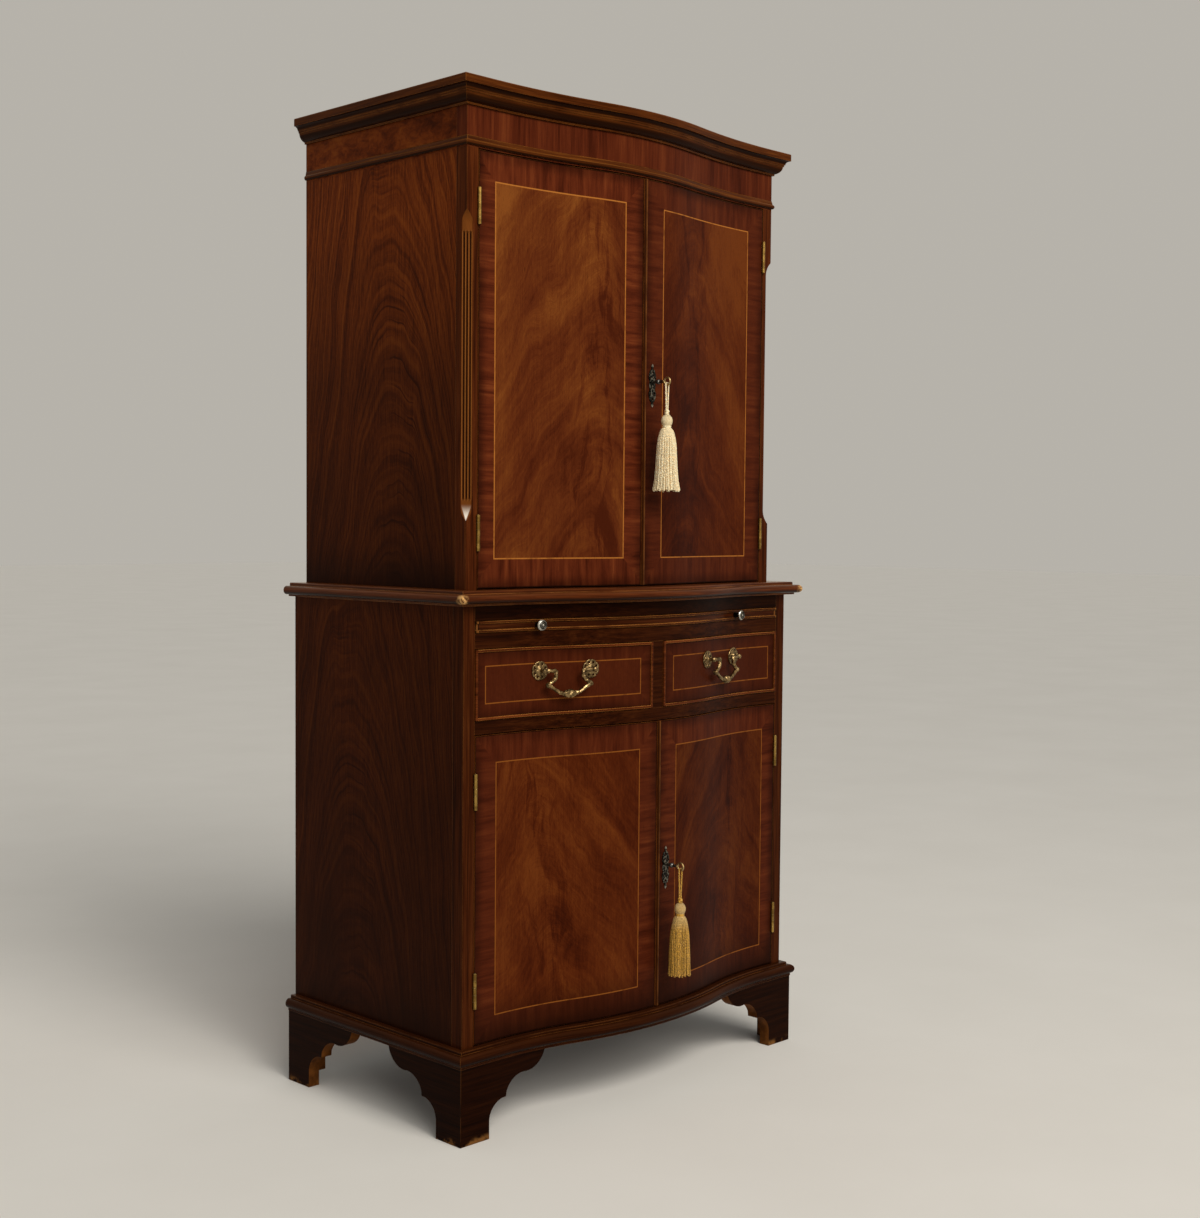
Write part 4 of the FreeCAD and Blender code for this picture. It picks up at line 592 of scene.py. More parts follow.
# On the beads the worn edges also stand for a painted highlight.
WEAR_AND_EDGE_HIGHLIGHT = {"worn_share": 1.0, "patchy": 12.0, "gloss": 0.24, "rounded": 0.0019}
STRAIGHT_WOODS = {
    "post": ("upright", 1, {"rounded": 0.0010, "extra": fluted}),
    "stile": ("upright", 0.62, {"rounded": 0.0014}),
    # The rails are toned darker, and the one under the waist darker still: painted shade.
    "rail": ("across", 0.40, {}),
    "shaded_rail": ("across", 0.20, {}),
    "top": ("across", 1, {"gloss": 0.42}),
    "moulding": ("around", (1.05, 1.18, 0.80), {
        **MOULDING, **BROAD_WEAR, "extra": hollowed, "rounded": 0.0020, "gloss": 0.24,
        "arris": (0.27, 0.090, 0.016)}),
    "waist": ("around", 1.10, {
        **NOSE, **BROAD_WEAR, "extra": corner_wear_and_glint, "rounded": 0.0022, "gloss": 0.22,
        "arris": (0.34, 0.125, 0.028)}),
    "bead": ("around", 1.35, {**MOULDING, **WEAR_AND_EDGE_HIGHLIGHT, "edges": dim_ends}),
    "slide": ("around", 0.62, {**MOULDING, **WEAR_AND_EDGE_HIGHLIGHT, "extra": ended, "arris": (0.42, 0.155, 0.030)}),
    "base": ("around", 0.34, {
        **MOULDING, **BROAD_WEAR, "worn_share": 0.80, "extra": shaded_ledges, "rounded": 0.0018,
        "gloss": 0.26, "arris": (0.19, 0.062, 0.012)}),
    "foot": ("around", 0.16, {
        "extra": sawn, "rounded": 0.0014, "worn_share": 0.8, "gloss": 0.38, "arris": (0.13, 0.046, 0.010)})}
woods = {name: straight_mahogany(f"{name}_mahogany", grain, toned(SOLID, share), **special)
         for name, (grain, share, special) in STRAIGHT_WOODS.items()}
woods["shelf"] = straight_mahogany("shelf_mahogany", "across", SIDE, gloss=0.46)
print("straight-grained finishes:", len(woods))

# %% [markdown]
# The side boards carry the cathedral figure, with its middle line a little toward the front, and above
# the frieze bead a cloudy burr. Painted shade darkens them toward the floor of each case and under the
# mouldings.

# %% Side veneer
FRIEZE_FOOT = 1.481
SIDE_SHADE = (0.010, 0.0022, 0.0007)


def side_veneer(case, middle, peak, depths):
    """depths are pairs of a height and the share of painted shade there."""
    material, bench, shader, spot = new_finish(f"{case}_side_veneer", "flame_mahogany", **WOOD_SHINE)
    x, y, z = bench.split(spot["Object"])
    figure = bench.use(cathedral, across=y - middle, up=z - peak)
    grainy = bench.use(fibres, vector=bench.join(y, x, z), coarse=0.22)
    flecks = bench.noise(bench.stretch(spot["Object"], (300, 300, 90)), 3, 0.6)
    tone = grainy["Streak"] + (figure["Figure"] - 0.5) + (flecks - 0.5) * 0.34 - figure["Lines"] * 0.28
    patch = bench.noise(bench.stretch(spot["Object"], (12, 9, 22)), 3, 0.55)
    burr = bench.noise(bench.stretch(spot["Object"], (60, 48, 75)), 5, 0.72, 0.5) + (patch - 0.5) * 0.8
    tone = bench.step(bench.step(z, FRIEZE_FOOT, FRIEZE_FOOT + 0.001), 0.0, 1.0, tone, burr, "LINEAR")
    # Painted shade, darker toward the floor and under the mouldings.
    shade = depths[0][1]
    for (low, first), (high, last) in zip(depths, depths[1:]):
        shade = shade + bench.step(z, low, high, 0.0, last - first)
    shade = bench.limit(shade + (bench.noise(spot["Object"], 3, 0.5, scale=5.0) - 0.5) * 0.35)
    colour = bench.blend(shade, bench.shades(tone, SIDE), SIDE_SHADE)
    finish_wood(bench, shader, spot, colour, grainy["Pore"], gloss=0.36)
    return material


side_woods = {
    "upper": side_veneer("upper", 0.03, 1.34, [(0.827, 0.93), (0.90, 0.74), (1.10, 0.60), (1.30, 0.20),
                                               (1.42, -0.10), (1.49, 0.06)]),
    "lower": side_veneer("lower", 0.10, 0.62, [(0.142, 0.95), (0.22, 0.86), (0.70, 0.74), (0.80, 0.66)])}
print("side veneers:", sorted(side_woods))

# %% [markdown]
# A door front has a flame field, a string and a crossband, and cloudy shading at its rim. The dark line
# along its very edge is a painted shadow of the gap round it.
# The same finish covers the door's edges and back, where the polisher used plain veneer, so it looks at
# the surface's own direction to tell the front from the rest.

# %% Door and drawer veneers
SIDES = ("left", "right", "bottom", "top")


def inlaid_veneer(name, field, outer, plume, shades, seed, string=AMBER_STRING, string_width=0.0012,
                  lean=0.0, calm=1.0, glow=None, bead=None, band=BAND, rise=0.0, low_shade=0.0):
    """field and outer are the edges of the string and of the piece in the order of SIDES, and plume is the
    figure's middle line. glow is the middle and the half sizes of a light patch, bead the middle line of a
    bead given painted shade with a painted highlight on its right half, rise how much lighter the field
    gets per metre of height, and low_shade how much painted shade darkens the bottom edge."""
    material, bench, shader, spot = new_finish(name, "flame_mahogany", **WOOD_SHINE)
    x, y, z = bench.split(spot["Object"])
    inside, margin = (bench.use(inside_frame, across=x, up=z, **dict(zip(SIDES, edges)))
                      for edges in (field, outer))
    bottom, top = outer[2:]
    figured = bench.use(flame, across=x - plume + (z - field[2]) * lean, up=z, seed=seed)
    grainy = bench.use(fibres, vector=spot["Object"], coarse=0.30)
    clouds = bench.noise(bench.join(x * 5.6, seed, z * 3.0), 3, 0.58, 0.6)
    flecks = bench.noise(bench.join(x * 330, seed, z * 120), 3, 0.65)
    tone = 0.5 + (grainy["Streak"] - 0.5) * 0.35 + (figured["Figure"] - 0.5) * (0.85 * calm)
    tone = tone + (clouds - 0.5) * (0.75 * calm) + (flecks - 0.5) * 0.26 - figured["Veins"] * (0.24 * calm)
    tone = tone + (z - (bottom + top) / 2) * rise
    if glow:
        middle, height, half_width, half_height = glow
        far = bench.far((x - middle) / half_width, (z - height) / half_height)
        tone = tone + bench.step(far, 0.0, 1.0, 0.22, 0.0)
    turned = bench.choose(inside["Upright"], spot["Object"], bench.join(z, y, x))
    band_grain = bench.use(fibres, vector=turned, coarse=1.15)["Streak"]
    ripple = bench.noise(bench.stretch(turned, (80, 80, 10)), 3, 0.60, 0.5)
    band_tone = 0.5 + (band_grain - 0.5) * (0.5 * max(calm, 0.6)) + (ripple - 0.5) * (0.95 * max(calm, 0.5))
    colour = bench.blend(bench.step(inside["Inside"], 0.0, 0.0002), bench.shades(band_tone, band),
                         bench.shades(tone, shades))
    cloudy = bench.step(bench.noise(spot["Object"], 3, 0.6, scale=11.0), 0.30, 0.62, 0.35, 1.0)
    rim = bench.step(margin["Inside"], 0.0, 0.022, 0.75, 0.0) * cloudy
    colour = bench.blend(rim, colour, (0.012, 0.0022, 0.0010))
    # Painted shade toward the bottom edge.
    foot = bench.step(z - bottom, 0.0, 0.085, low_shade, 0.0)
    colour = bench.blend(foot, colour, (0.010, 0.0022, 0.0008))
    # A painted shadow line at the very edge, where the gap round the front lies.
    line = bench.step(margin["Inside"], 0.0005, 0.0026, 0.9, 0.0)
    colour = bench.blend(line, colour, (0.004, 0.0010, 0.0004))
    near_string = bench.fade(abs(inside["Inside"]), string_width / 2, string_width / 2 + 0.0005)
    chips = bench.step(bench.noise(spot["Object"], 2, 0.5, scale=60.0), 0.30, 0.46, 0.55, 1.0)
    colour = bench.blend(near_string * chips, colour, string)
    if bead is not None:
        # A bead darkened with painted shade, with a painted highlight on its right half.
        on_bead = bench.fade(abs(x - bead), 0.0036, 0.0040)
        rubbed = bench.step(bench.noise(spot["Object"], 3, 0.6, scale=26.0), 0.34, 0.60, 0.35, 1.0)
        lit = on_bead * bench.step(x - bead, -0.0030, 0.0030)
        colour = bench.blend(on_bead, colour, (0.022, 0.0048, 0.0012))
        colour = bench.blend(lit * rubbed, colour, (0.190, 0.062, 0.013))
    plain = bench.shades(bench.use(fibres, vector=spot["Object"], coarse=0.8)["Streak"], SIDE)
    front = bench.step(bench.split(spot["Normal"])[1], -0.35, -0.55)
    finish_wood(bench, shader, spot, bench.blend(front, plain, colour), grainy["Pore"], gloss=0.33)
    return material


print("a front is given by its", ", ".join(SIDES))

# %% [markdown]
# No two fronts were cut from the same sheet. The table gives each its row, the left and right of its
# string and of its edges, the plume's place, its shades and a seed for the noise. The heights are the
# same along a row.

# %% Six fronts
FIELD_HEIGHTS = {"upper": (0.8735, 1.4365), "lower": (0.1825, 0.5675), "drawer": (0.6575, 0.7135)}
EDGE_HEIGHTS = {"upper": (0.8292, 1.4800), "lower": (0.1438, 0.6100), "drawer": (0.6330, 0.7390)}
LOW_BAND = toned(BAND, 0.78)
# The right drawer is toned darker than the left: painted shade on the right of the front.
DRAWER_BANDS = {"left": toned(BAND, 0.62), "right": toned(BAND, 0.54)}
FRONTS = {
    "upper_left": ("upper", (-0.2970, -0.0480), (-0.3300, -0.0093), -0.112, GOLDEN_FLAME, 2.0, {
        "string": BOXWOOD, "string_width": 0.0015, "lean": -0.03, "glow": (-0.285, 1.16, 0.060, 0.60),
        "rise": 0.34}),
    "upper_right": ("upper", (0.0405, 0.2890), (-0.0030, 0.3300), 0.120, RED_FLAME, 7.4, {
        "string": BOXWOOD, "lean": 0.03, "calm": 0.75, "glow": (0.26, 1.40, 0.13, 0.18), "bead": -0.0040,
        "rise": 0.42, "band": LOW_BAND}),
    "lower_left": ("lower", (-0.3100, -0.0395), (-0.3520, -0.0003), -0.190, RED_FLAME, 12.7, {
        "lean": 0.12, "calm": 0.8, "band": LOW_BAND, "glow": (-0.18, 0.46, 0.16, 0.16), "low_shade": 0.75}),
    # The lower right door is a darker copy of the red flame: painted shade on the right of the front.
    "lower_right": ("lower", (0.0480, 0.3180), (0.0080, 0.3520), 0.200, toned(RED_FLAME, 0.76), 19.3, {
        "lean": -0.10, "calm": 0.9, "bead": 0.0050, "band": LOW_BAND, "low_shade": 0.75}),
    "left_drawer": ("drawer", (-0.3320, -0.0390), (-0.3525, -0.0130), -0.62, DRAWER_BANDS["left"], 25.0, {
        "calm": 0.30, "band": DRAWER_BANDS["left"]}),
    "right_drawer": ("drawer", (0.0390, 0.3320), (0.0130, 0.3525), 0.62, DRAWER_BANDS["right"], 31.0, {
        "calm": 0.30, "band": DRAWER_BANDS["right"]})}
fronts = {name: inlaid_veneer(f"{name}_veneer", field + FIELD_HEIGHTS[row], outer + EDGE_HEIGHTS[row],
                              plume, shades, seed, **special)
          for name, (row, field, outer, plume, shades, seed, special) in FRONTS.items()}
print("inlaid fronts:", len(fronts))

# %% [markdown]
# The frieze is crossbanded: short upright grain all along, in sheets that differ a little in tone, so
# dark and light patches follow each other.

# %% Crossbanded frieze
SHEET_WIDTH = 0.034
frieze_wood, bench, shader, spot = new_finish("frieze_crossband", "flame_mahogany", **WOOD_SHINE)
x, y, z = bench.split(spot["Object"])
grainy = bench.use(fibres, vector=bench.join(x + y, 0.0, z), coarse=0.65)
sheets = bench.noise(bench.join((x + y) / SHEET_WIDTH, 0.0, z * 3.0), 2, 0.5)
ripple = bench.noise(bench.join((x + y) * 85.0, 0.0, z * 7.0), 3, 0.55)
tone = grainy["Streak"] + (sheets - 0.5) * 0.95 + (ripple - 0.5) * 0.34
finish_wood(bench, shader, spot, bench.shades(tone, toned(BAND, 0.86)), grainy["Pore"])
print("frieze finish:", frieze_wood.name)

# %% [markdown]
# Most metals are one recipe with different colours: a clean tone, a tarnish that gathers in patches and
# hollows, and bright rubbed edges. The pierced escutcheons and the ringed knobs need recipes of their
# own.

# %% Recipes for metal
def worked_metal(name, clean, tarnish, bright, patches=60.0, base=0.34, amount=0.8, brass_before=None):
    """brass_before is the depth in front of which the metal turns to brass."""
    material, bench, shader, spot = new_finish(name, "aged_brass", Metallic=1.0)
    stain = bench.noise(spot["Object"], 5, 0.62, 0.6, scale=patches)
    pits = bench.noise(spot["Object"], 3, 0.6, scale=patches * 14)
    edge = bench.use(worn, vector=spot["Object"], radius=0.0005, patchy=200.0)
    colour = bench.blend(bench.step(stain, 0.34, 0.62) * amount, clean, tarnish)
    colour = bench.blend(edge["Wear"], colour, bright)
    if brass_before is not None:
        ahead = bench.fade(bench.split(spot["Object"])[1], brass_before - 0.001, brass_before)
        colour = bench.blend(ahead * 0.85, colour, (0.46, 0.32, 0.13))
    bench.feed(shader["Base Color"], colour)
    bench.feed(shader["Roughness"], bench.step(stain, 0.3, 0.7, base - 0.10, base + 0.22))
    bench.emboss(shader, pits, 0.25, 0.0002, edge["Rounded"])
    return material


def pierced_brass(name, node):
    """A pierced plate gone nearly black: its holes painted in near-black shade with bright rims, and a
    painted highlight at the tips.
    """
    material, bench, shader, spot = new_finish(name, "aged_brass", Metallic=1.0)
    low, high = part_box(node)
    middle, half = (low.z + high.z) / 2, (high.z - low.z) / 2
    gap = bench.result("ShaderNodeTexVoronoi", {"Scale": 290.0, "Vector": spot["Object"]}, "Distance")
    tip = bench.step(abs(bench.split(spot["Object"])[2] - middle), half - 0.006, half - 0.001)
    # The holes are painted near-black, as shade.
    colour = bench.blend(bench.step(gap, 0.30, 0.52), (0.003, 0.003, 0.002), (0.022, 0.020, 0.015))
    colour = bench.blend(bench.step(gap, 0.58, 0.72), colour, (0.17, 0.155, 0.120))
    # A painted highlight at the tips.
    bench.feed(shader["Base Color"], bench.blend(tip * 0.6, colour, (0.55, 0.50, 0.40)))
    bench.feed(shader["Roughness"], bench.step(gap, 0.3, 0.6, 0.6, 0.28))
    bench.emboss(shader, gap, 0.9, 0.0012)
    return material


def ringed_brass(name, node):
    """Turned knobs: dark in the two hollows round the boss, bright on the boss and the rim."""
    material, bench, shader, spot = new_finish(name, "aged_brass", Metallic=1.0)
    low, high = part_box(node)
    radius = (high.z - low.z) / 2
    x, y, z = bench.split(spot["Object"])
    far = bench.far(abs(x) - (high.x - radius), z - (low.z + high.z) / 2)
    rings = bench.shades(far / radius, [
        (0.00, (0.70, 0.67, 0.58)), (0.15, (0.70, 0.67, 0.58)), (0.22, (0.012, 0.011, 0.009)),
        (0.34, (0.060, 0.056, 0.046)), (0.46, (0.200, 0.190, 0.160)), (0.56, (0.012, 0.011, 0.009)),
        (0.72, (0.030, 0.028, 0.023)), (0.84, (0.66, 0.64, 0.57)), (1.00, (0.50, 0.48, 0.42))])
    stain = bench.noise(spot["Object"], 4, 0.6, scale=420.0)
    colour = bench.blend(bench.step(stain, 0.42, 0.70, 0.0, 0.5), rings, (0.030, 0.026, 0.020))
    bench.feed(shader["Base Color"], colour)
    bench.feed(shader["Roughness"], bench.step(stain, 0.3, 0.7, 0.20, 0.42))
    bench.emboss(shader, bench.split(rings)[0], 0.8, 0.0010)
    return material


print("recipes:", [recipe.__name__ for recipe in (worked_metal, pierced_brass, ringed_brass)])

# %% [markdown]
# The handles are old pale brass, the hinges yellow brass, the locks steel, and the keys steel with a
# brass bow.

# %% Metals
KEY_BOW_DEPTH = 0.016
metals = {
    "handle": worked_metal("aged_handle_brass", (0.36, 0.240, 0.105), (0.046, 0.029, 0.012),
                           (0.76, 0.58, 0.33), patches=110.0, base=0.30),
    "hinge": worked_metal("hinge_brass", (0.42, 0.26, 0.065), (0.12, 0.065, 0.014), (0.80, 0.60, 0.26),
                          amount=0.9),
    "lock": worked_metal("lock_steel", (0.36, 0.35, 0.33), (0.16, 0.14, 0.11), (0.6, 0.58, 0.54),
                         base=0.45),
    "knob": ringed_brass("knob_brass", "slide_knobs")}
for case in CORD_DROPS:
    metals[f"{case}_plate"] = pierced_brass(f"{case}_escutcheon_brass", f"{case}_escutcheon")
    metals[f"{case}_key"] = worked_metal(
        f"{case}_key_metal", (0.16, 0.155, 0.145), (0.05, 0.047, 0.042), (0.62, 0.60, 0.55), patches=120.0,
        brass_before=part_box(f"{case}_key")[0].y + KEY_BOW_DEPTH)
print("metals:", sorted(metals))

# %% [markdown]
# Inside, the drawers are lined with pale wood, the backs are thin ply, and the upper shelf is plate
# glass.

# %% Pale woods and glass
LINING = [(0.25, (0.30, 0.17, 0.075)), (0.5, (0.42, 0.26, 0.13)), (0.8, (0.55, 0.37, 0.20))]
PLY = [(0.25, (0.26, 0.098, 0.032)), (0.5, (0.40, 0.158, 0.056)), (0.8, (0.52, 0.225, 0.086))]
lining_wood = straight_mahogany("drawer_lining_wood", "depth", LINING, slot="pale_drawer_wood", gloss=0.55,
                                arris=(0.6, 0.42, 0.24))
back_wood = straight_mahogany("back_plywood", "upright", PLY, slot="plywood_back", gloss=0.6,
                              arris=(0.50, 0.27, 0.12))
shelf_glass, bench, shader, spot = new_finish("shelf_glass", "clear_glass", Transmission_Weight=1.0, IOR=1.5,
                                              Base_Color=(0.90, 0.97, 0.94))
smears = bench.noise(spot["Object"], 3, 0.5, scale=18.0)
bench.feed(shader["Roughness"], bench.step(smears, 0.5, 0.9, 0.01, 0.07))
print("inner finishes:", [item.name for item in (lining_wood, back_wood, shelf_glass)])

# %% [markdown]
# Each solid of the cabinet now gets its finish. A table from the finishes to the names of the pieces is
# the plainest way, and the print shows whether any piece was missed.

# %% Dress the cabinet
DRESS = {
    woods["post"]: ["upper_posts"],
    woods["stile"]: ["lower_stiles"],
    woods["rail"]: ["slide_bed", "dust_board", "drawer_partition", "lower_bottom_board",
                    "upper_bottom_board"],
    woods["shaded_rail"]: ["carcass_top_board"],
    woods["top"]: ["top_board", "ceiling_board"],
    woods["moulding"]: ["cornice", "frieze_bead"],
    woods["waist"]: ["waist_board"],
    woods["base"]: ["base_frame"],
    woods["bead"]: ["left_drawer_cock_bead", "right_drawer_cock_bead"],
    woods["slide"]: ["slide_front"],
    woods["foot"]: ["front_feet", "rear_feet"],
    woods["shelf"]: ["lower_shelf", "slide_board"],
    frieze_wood: ["frieze_rail"],
    lining_wood: ["left_drawer_box", "right_drawer_box"],
    back_wood: ["upper_back", "lower_back"],
    shelf_glass: ["glass_shelf"],
    metals["hinge"]: ["post_hinges", "shelf_pins"],
    metals["handle"]: ["left_handle_roses", "right_handle_roses", "left_bail", "right_bail"],
    metals["knob"]: ["slide_knobs"],
    metals["lock"]: ["upper_lock_case", "lower_lock_case", "upper_lock_bolt", "lower_lock_bolt"]}
for case in CORD_DROPS:
    DRESS[side_woods[case]] = [f"{case}_left_side", f"{case}_right_side"]
    DRESS[metals[f"{case}_plate"]] = [f"{case}_escutcheon"]
    DRESS[metals[f"{case}_key"]] = [f"{case}_key"]
    for hand in ("left", "right"):
        DRESS[fronts[f"{case}_{hand}"]] = [f"{case}_{hand}_door"]
        DRESS[metals["hinge"]].append(f"{case}_{hand}_door_hinges")
        DRESS[fronts[f"{hand}_drawer"]] = [f"{hand}_drawer_front"]
dressed = set()


def dress(name, finish):
    """Gives a solid its finish."""
    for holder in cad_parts[name].material_slots:
        holder.material = finish
    dressed.add(name)


for finish, names in DRESS.items():
    for name in names:
        dress(name, finish)
print("left for the silk:", sorted(set(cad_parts) - dressed))

# %% [markdown]
# Silk shows its threads. On the cord and the strands the twist runs as slanting ridges, so the bump is a
# wave over the piece's own length and girth. On the tassel's head the threads lie upright round a wooden
# mould, so there the wave counts the angle round the tassel's axis.

# %% Silk finishes
def silk(name, slot, pale, deep, threads, shoulder=None):
    """threads makes the height of the ridges, which also gives painted shade in their valleys; shoulder is a
    height and a colour that fades in above it.
    """
    material, bench, shader, spot = new_finish(name, slot, Sheen_Weight=0.06, Sheen_Roughness=0.4,
                                               Specular_IOR_Level=0.45)
    height = threads(bench, spot)
    mottled = bench.noise(spot["Object"], 3, 0.7, scale=420.0)
    # Deep in the valleys of the threads, pale on their ridges: painted shade in the valleys, with mottling.
    tone = bench.limit(height + (mottled - 0.44) * 2.6)
    colour = bench.blend(tone, deep, pale)
    if shoulder:
        level, tint = shoulder
        above = bench.step(bench.split(spot["Object"])[2], level - 0.012, level + 0.012)
        colour = bench.blend(above * (tone * 0.6 + 0.25), colour, tint)
    bench.feed(shader["Base Color"], colour)
    bench.feed(shader["Roughness"], bench.step(height, 0.0, 1.0, 0.60, 0.30))
    bench.emboss(shader, height, 1.0, 0.0007)
    return material


def twisted(turns, plies):
    """Ridges that wind round a strand: the first value of its map runs along it, the second round it."""
    def threads(bench, spot):
        along, girth = bench.split(spot["UV"])[:2]
        wound = along * turns + girth * plies + bench.noise(spot["Object"], 2, 0.5, scale=260.0) * 2.6
        return bench.sum("SINE", wound * (2 * math.pi)) * 0.5 + 0.5
    return threads


def upright_threads(x, y, count):
    """Ridges that run up and down round an axis at x, y."""
    def threads(bench, spot):
        parts = bench.split(spot["Object"])
        angle = bench.sum("ARCTAN2", parts[1] - y, parts[0] - x)
        return bench.sum("SINE", angle * float(count)) * 0.5 + 0.5
    return threads


SILK_SHADES = {"upper": ("cream_silk", (1.0, 0.90, 0.60), (0.80, 0.50, 0.20)),
               "lower": ("gold_silk", (0.70, 0.37, 0.042), (0.12, 0.046, 0.003))}
HEAD_SHADES = {"upper": ((1.0, 0.84, 0.52), (0.66, 0.44, 0.18)),
               "lower": ((0.74, 0.50, 0.19), (0.34, 0.17, 0.035))}
print("silks:", [shade[0] for shade in SILK_SHADES.values()])

# %% [markdown]
# A tassel is a turned mould covered with threads, a bound neck and a skirt of twisted strands. The head
# and the binding are spun from short profiles.

# %% Spun pieces
DOUBLES = 1e-6


def close_mesh(work, name):
    """Joins doubles, turns the faces outward, smooths them and ends the work on the mesh."""
    bmesh.ops.remove_doubles(work, verts=work.verts, dist=DOUBLES)
    bmesh.ops.recalc_face_normals(work, faces=work.faces)
    for face in work.faces:
        face.smooth = True
    mesh = bpy.data.meshes.new(name)
    work.to_mesh(mesh)
    work.free()
    return mesh


def show(name, mesh, body, finish):
    """Shows a mesh as a piece of its own that rides on a body."""
    piece = bpy.data.objects.new(name, mesh)
    scene.collection.objects.link(piece)
    mesh.materials.clear()
    mesh.materials.append(finish)
    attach(piece, body)
    return piece


def spin(work, parts, centre, axis, steps):
    """Turns vertices and edges once round an axis."""
    bmesh.ops.spin(work, geom=parts, cent=centre, axis=axis, angle=2 * math.pi, steps=steps, use_merge=True)


def spin_profile(work, profile, centre, steps):
    """Turns a profile of (radius, height) round an upright axis."""
    verts = [work.verts.new(centre + Vector((radius, 0, height))) for radius, height in profile]
    edges = [work.edges.new(pair) for pair in zip(verts, verts[1:])]
    spin(work, verts + edges, centre, (0, 0, 1), steps)


def add_torus(work, centre, ring, wire, axis=(0, 0, 1), steps=32, sides=10):
    """A ring of round wire."""
    normal = Vector(axis).normalized()
    turn = Vector((0, 0, 1)).rotation_difference(normal).to_matrix()
    spot = centre + turn @ Vector((ring, 0, 0))
    upright = Euler((math.pi / 2, 0, 0)).to_matrix().to_4x4()
    place = Matrix.Translation(spot) @ turn.to_4x4() @ upright
    circle = bmesh.ops.create_circle(work, segments=sides, radius=wire, matrix=place)
    edges = list({edge for vert in circle["verts"] for edge in vert.link_edges})
    spin(work, circle["verts"] + edges, centre, normal, steps)


print("corners closer than", DOUBLES, "m are joined")

# %% [markdown]
# The skirt is many separate strands, each a little different, in three layers that start at the neck and
# follow the bell outward. A layer is a count, a distance inside the bell and a thickness.

# %% Strands of a skirt
BELLS = {"upper": [(0, 0.0066), (0.03, 0.0104), (0.10, 0.0134), (0.28, 0.0162), (0.58, 0.0175),
                   (0.82, 0.0192), (1, 0.0226)],
         "lower": [(0, 0.0066), (0.03, 0.0098), (0.10, 0.0126), (0.30, 0.0156), (0.58, 0.0172),
                   (0.85, 0.0178), (1, 0.0188)]}
LAYERS = ((44, 0.0, 0.00112), (40, 0.0020, 0.00112), (30, 0.0048, 0.0013))
STRAND_SHARES = (0, 0.03, 0.08, 0.16, 0.28, 0.42, 0.58, 0.72, 0.85, 0.94, 1)
STRAND_INSET = 0.0012


def bell(case, drop):
    """Radius of the skirt at a share of its drop: a round shoulder, then a slow flare."""
    marks = BELLS[case]
    for (low, first), (high, last) in zip(marks, marks[1:]):
        if drop <= high:
            share = (drop - low) / (high - low)
            return first + (last - first) * share
    return marks[-1][1]


def strand_paths(case, axis, neck, length, seed):
    """The middle line and the thickness of each strand."""
    chance = random.Random(seed)
    for count, inset, strand in LAYERS:
        for index in range(count):
            angle = 2 * math.pi * (index + chance.uniform(-0.38, 0.38)) / count
            drift = chance.uniform(-0.07, 0.07)
            end = length * (1 - chance.uniform(0.0, 0.030) - (0.01 if inset else 0))
            puff = chance.uniform(-0.0006, 0.0005)
            path = []
            for share in STRAND_SHARES:
                radius = bell(case, share) - STRAND_INSET - inset * min(1, share * 4)
                radius += (puff + chance.uniform(-0.0003, 0.0002)) * min(1, share * 3)
                radius = max(radius, 0.002)
                turn = angle + drift * share + chance.uniform(-0.015, 0.015) * (share > 0.1)
                path.append((axis.x + radius * math.cos(turn), axis.y + radius * math.sin(turn),
                             neck - end * share))
            yield path, strand


print("strands of a skirt:", sum(layer[0] for layer in LAYERS))

# %% [markdown]
# The head, the binding and the skirt become three pieces. The strands are drawn as one curve with many
# splines and then turned into a mesh.

# %% Parts of a tassel
NECK_DROP, SHOULDER_DROP, HEM_GAP = 0.0285, 0.014, 0.0008
HEAD_THREADS = 34
BINDING_TURNS, BINDING_TOP, BINDING_PITCH, BINDING_RADIUS = 4, 0.0262, 0.0011, 0.0066
HEAD_PROFILE = [(0.0, -0.0066), (0.0030, -0.0070), (0.0058, -0.0090), (0.0080, -0.0120), (0.0093, -0.0158),
                (0.0092, -0.0196), (0.0080, -0.0232), (0.0068, -0.0256), (0.0062, -0.0290), (0.0, -0.0295)]
KNOT_RINGS = ((-0.0020, 0.0027, (0.5, 0.2, 1)), (-0.0040, 0.0030, (-0.5, 0.3, 1)),
              (-0.0058, 0.0026, (0.1, -0.4, 1)))


def make_head(case, axis, body, finish):
    """The turned head under its threads."""
    work = bmesh.new()
    spin_profile(work, HEAD_PROFILE, axis, steps=40)
    show(f"{case}_tassel_head", close_mesh(work, f"{case}_tassel_head"), body, finish)


def make_binding(case, axis, body, finish):
    """A few turns of cord round the neck, and the knot on top of the head."""
    work = bmesh.new()
    for index in range(BINDING_TURNS):
        height = -BINDING_TOP - BINDING_PITCH * index
        add_torus(work, axis + Vector((0, 0, height)), BINDING_RADIUS - 0.0002 * index, 0.0008)
    for height, ring, lean in KNOT_RINGS:
        add_torus(work, axis + Vector((0, 0, height)), ring, 0.0015, lean, steps=20, sides=8)
    bmesh.ops.create_uvsphere(work, u_segments=16, v_segments=10, radius=0.0030,
                              matrix=Matrix.Translation(axis + Vector((0, 0, -0.0035))))
    show(f"{case}_tassel_binding", close_mesh(work, f"{case}_tassel_binding"), body, finish)


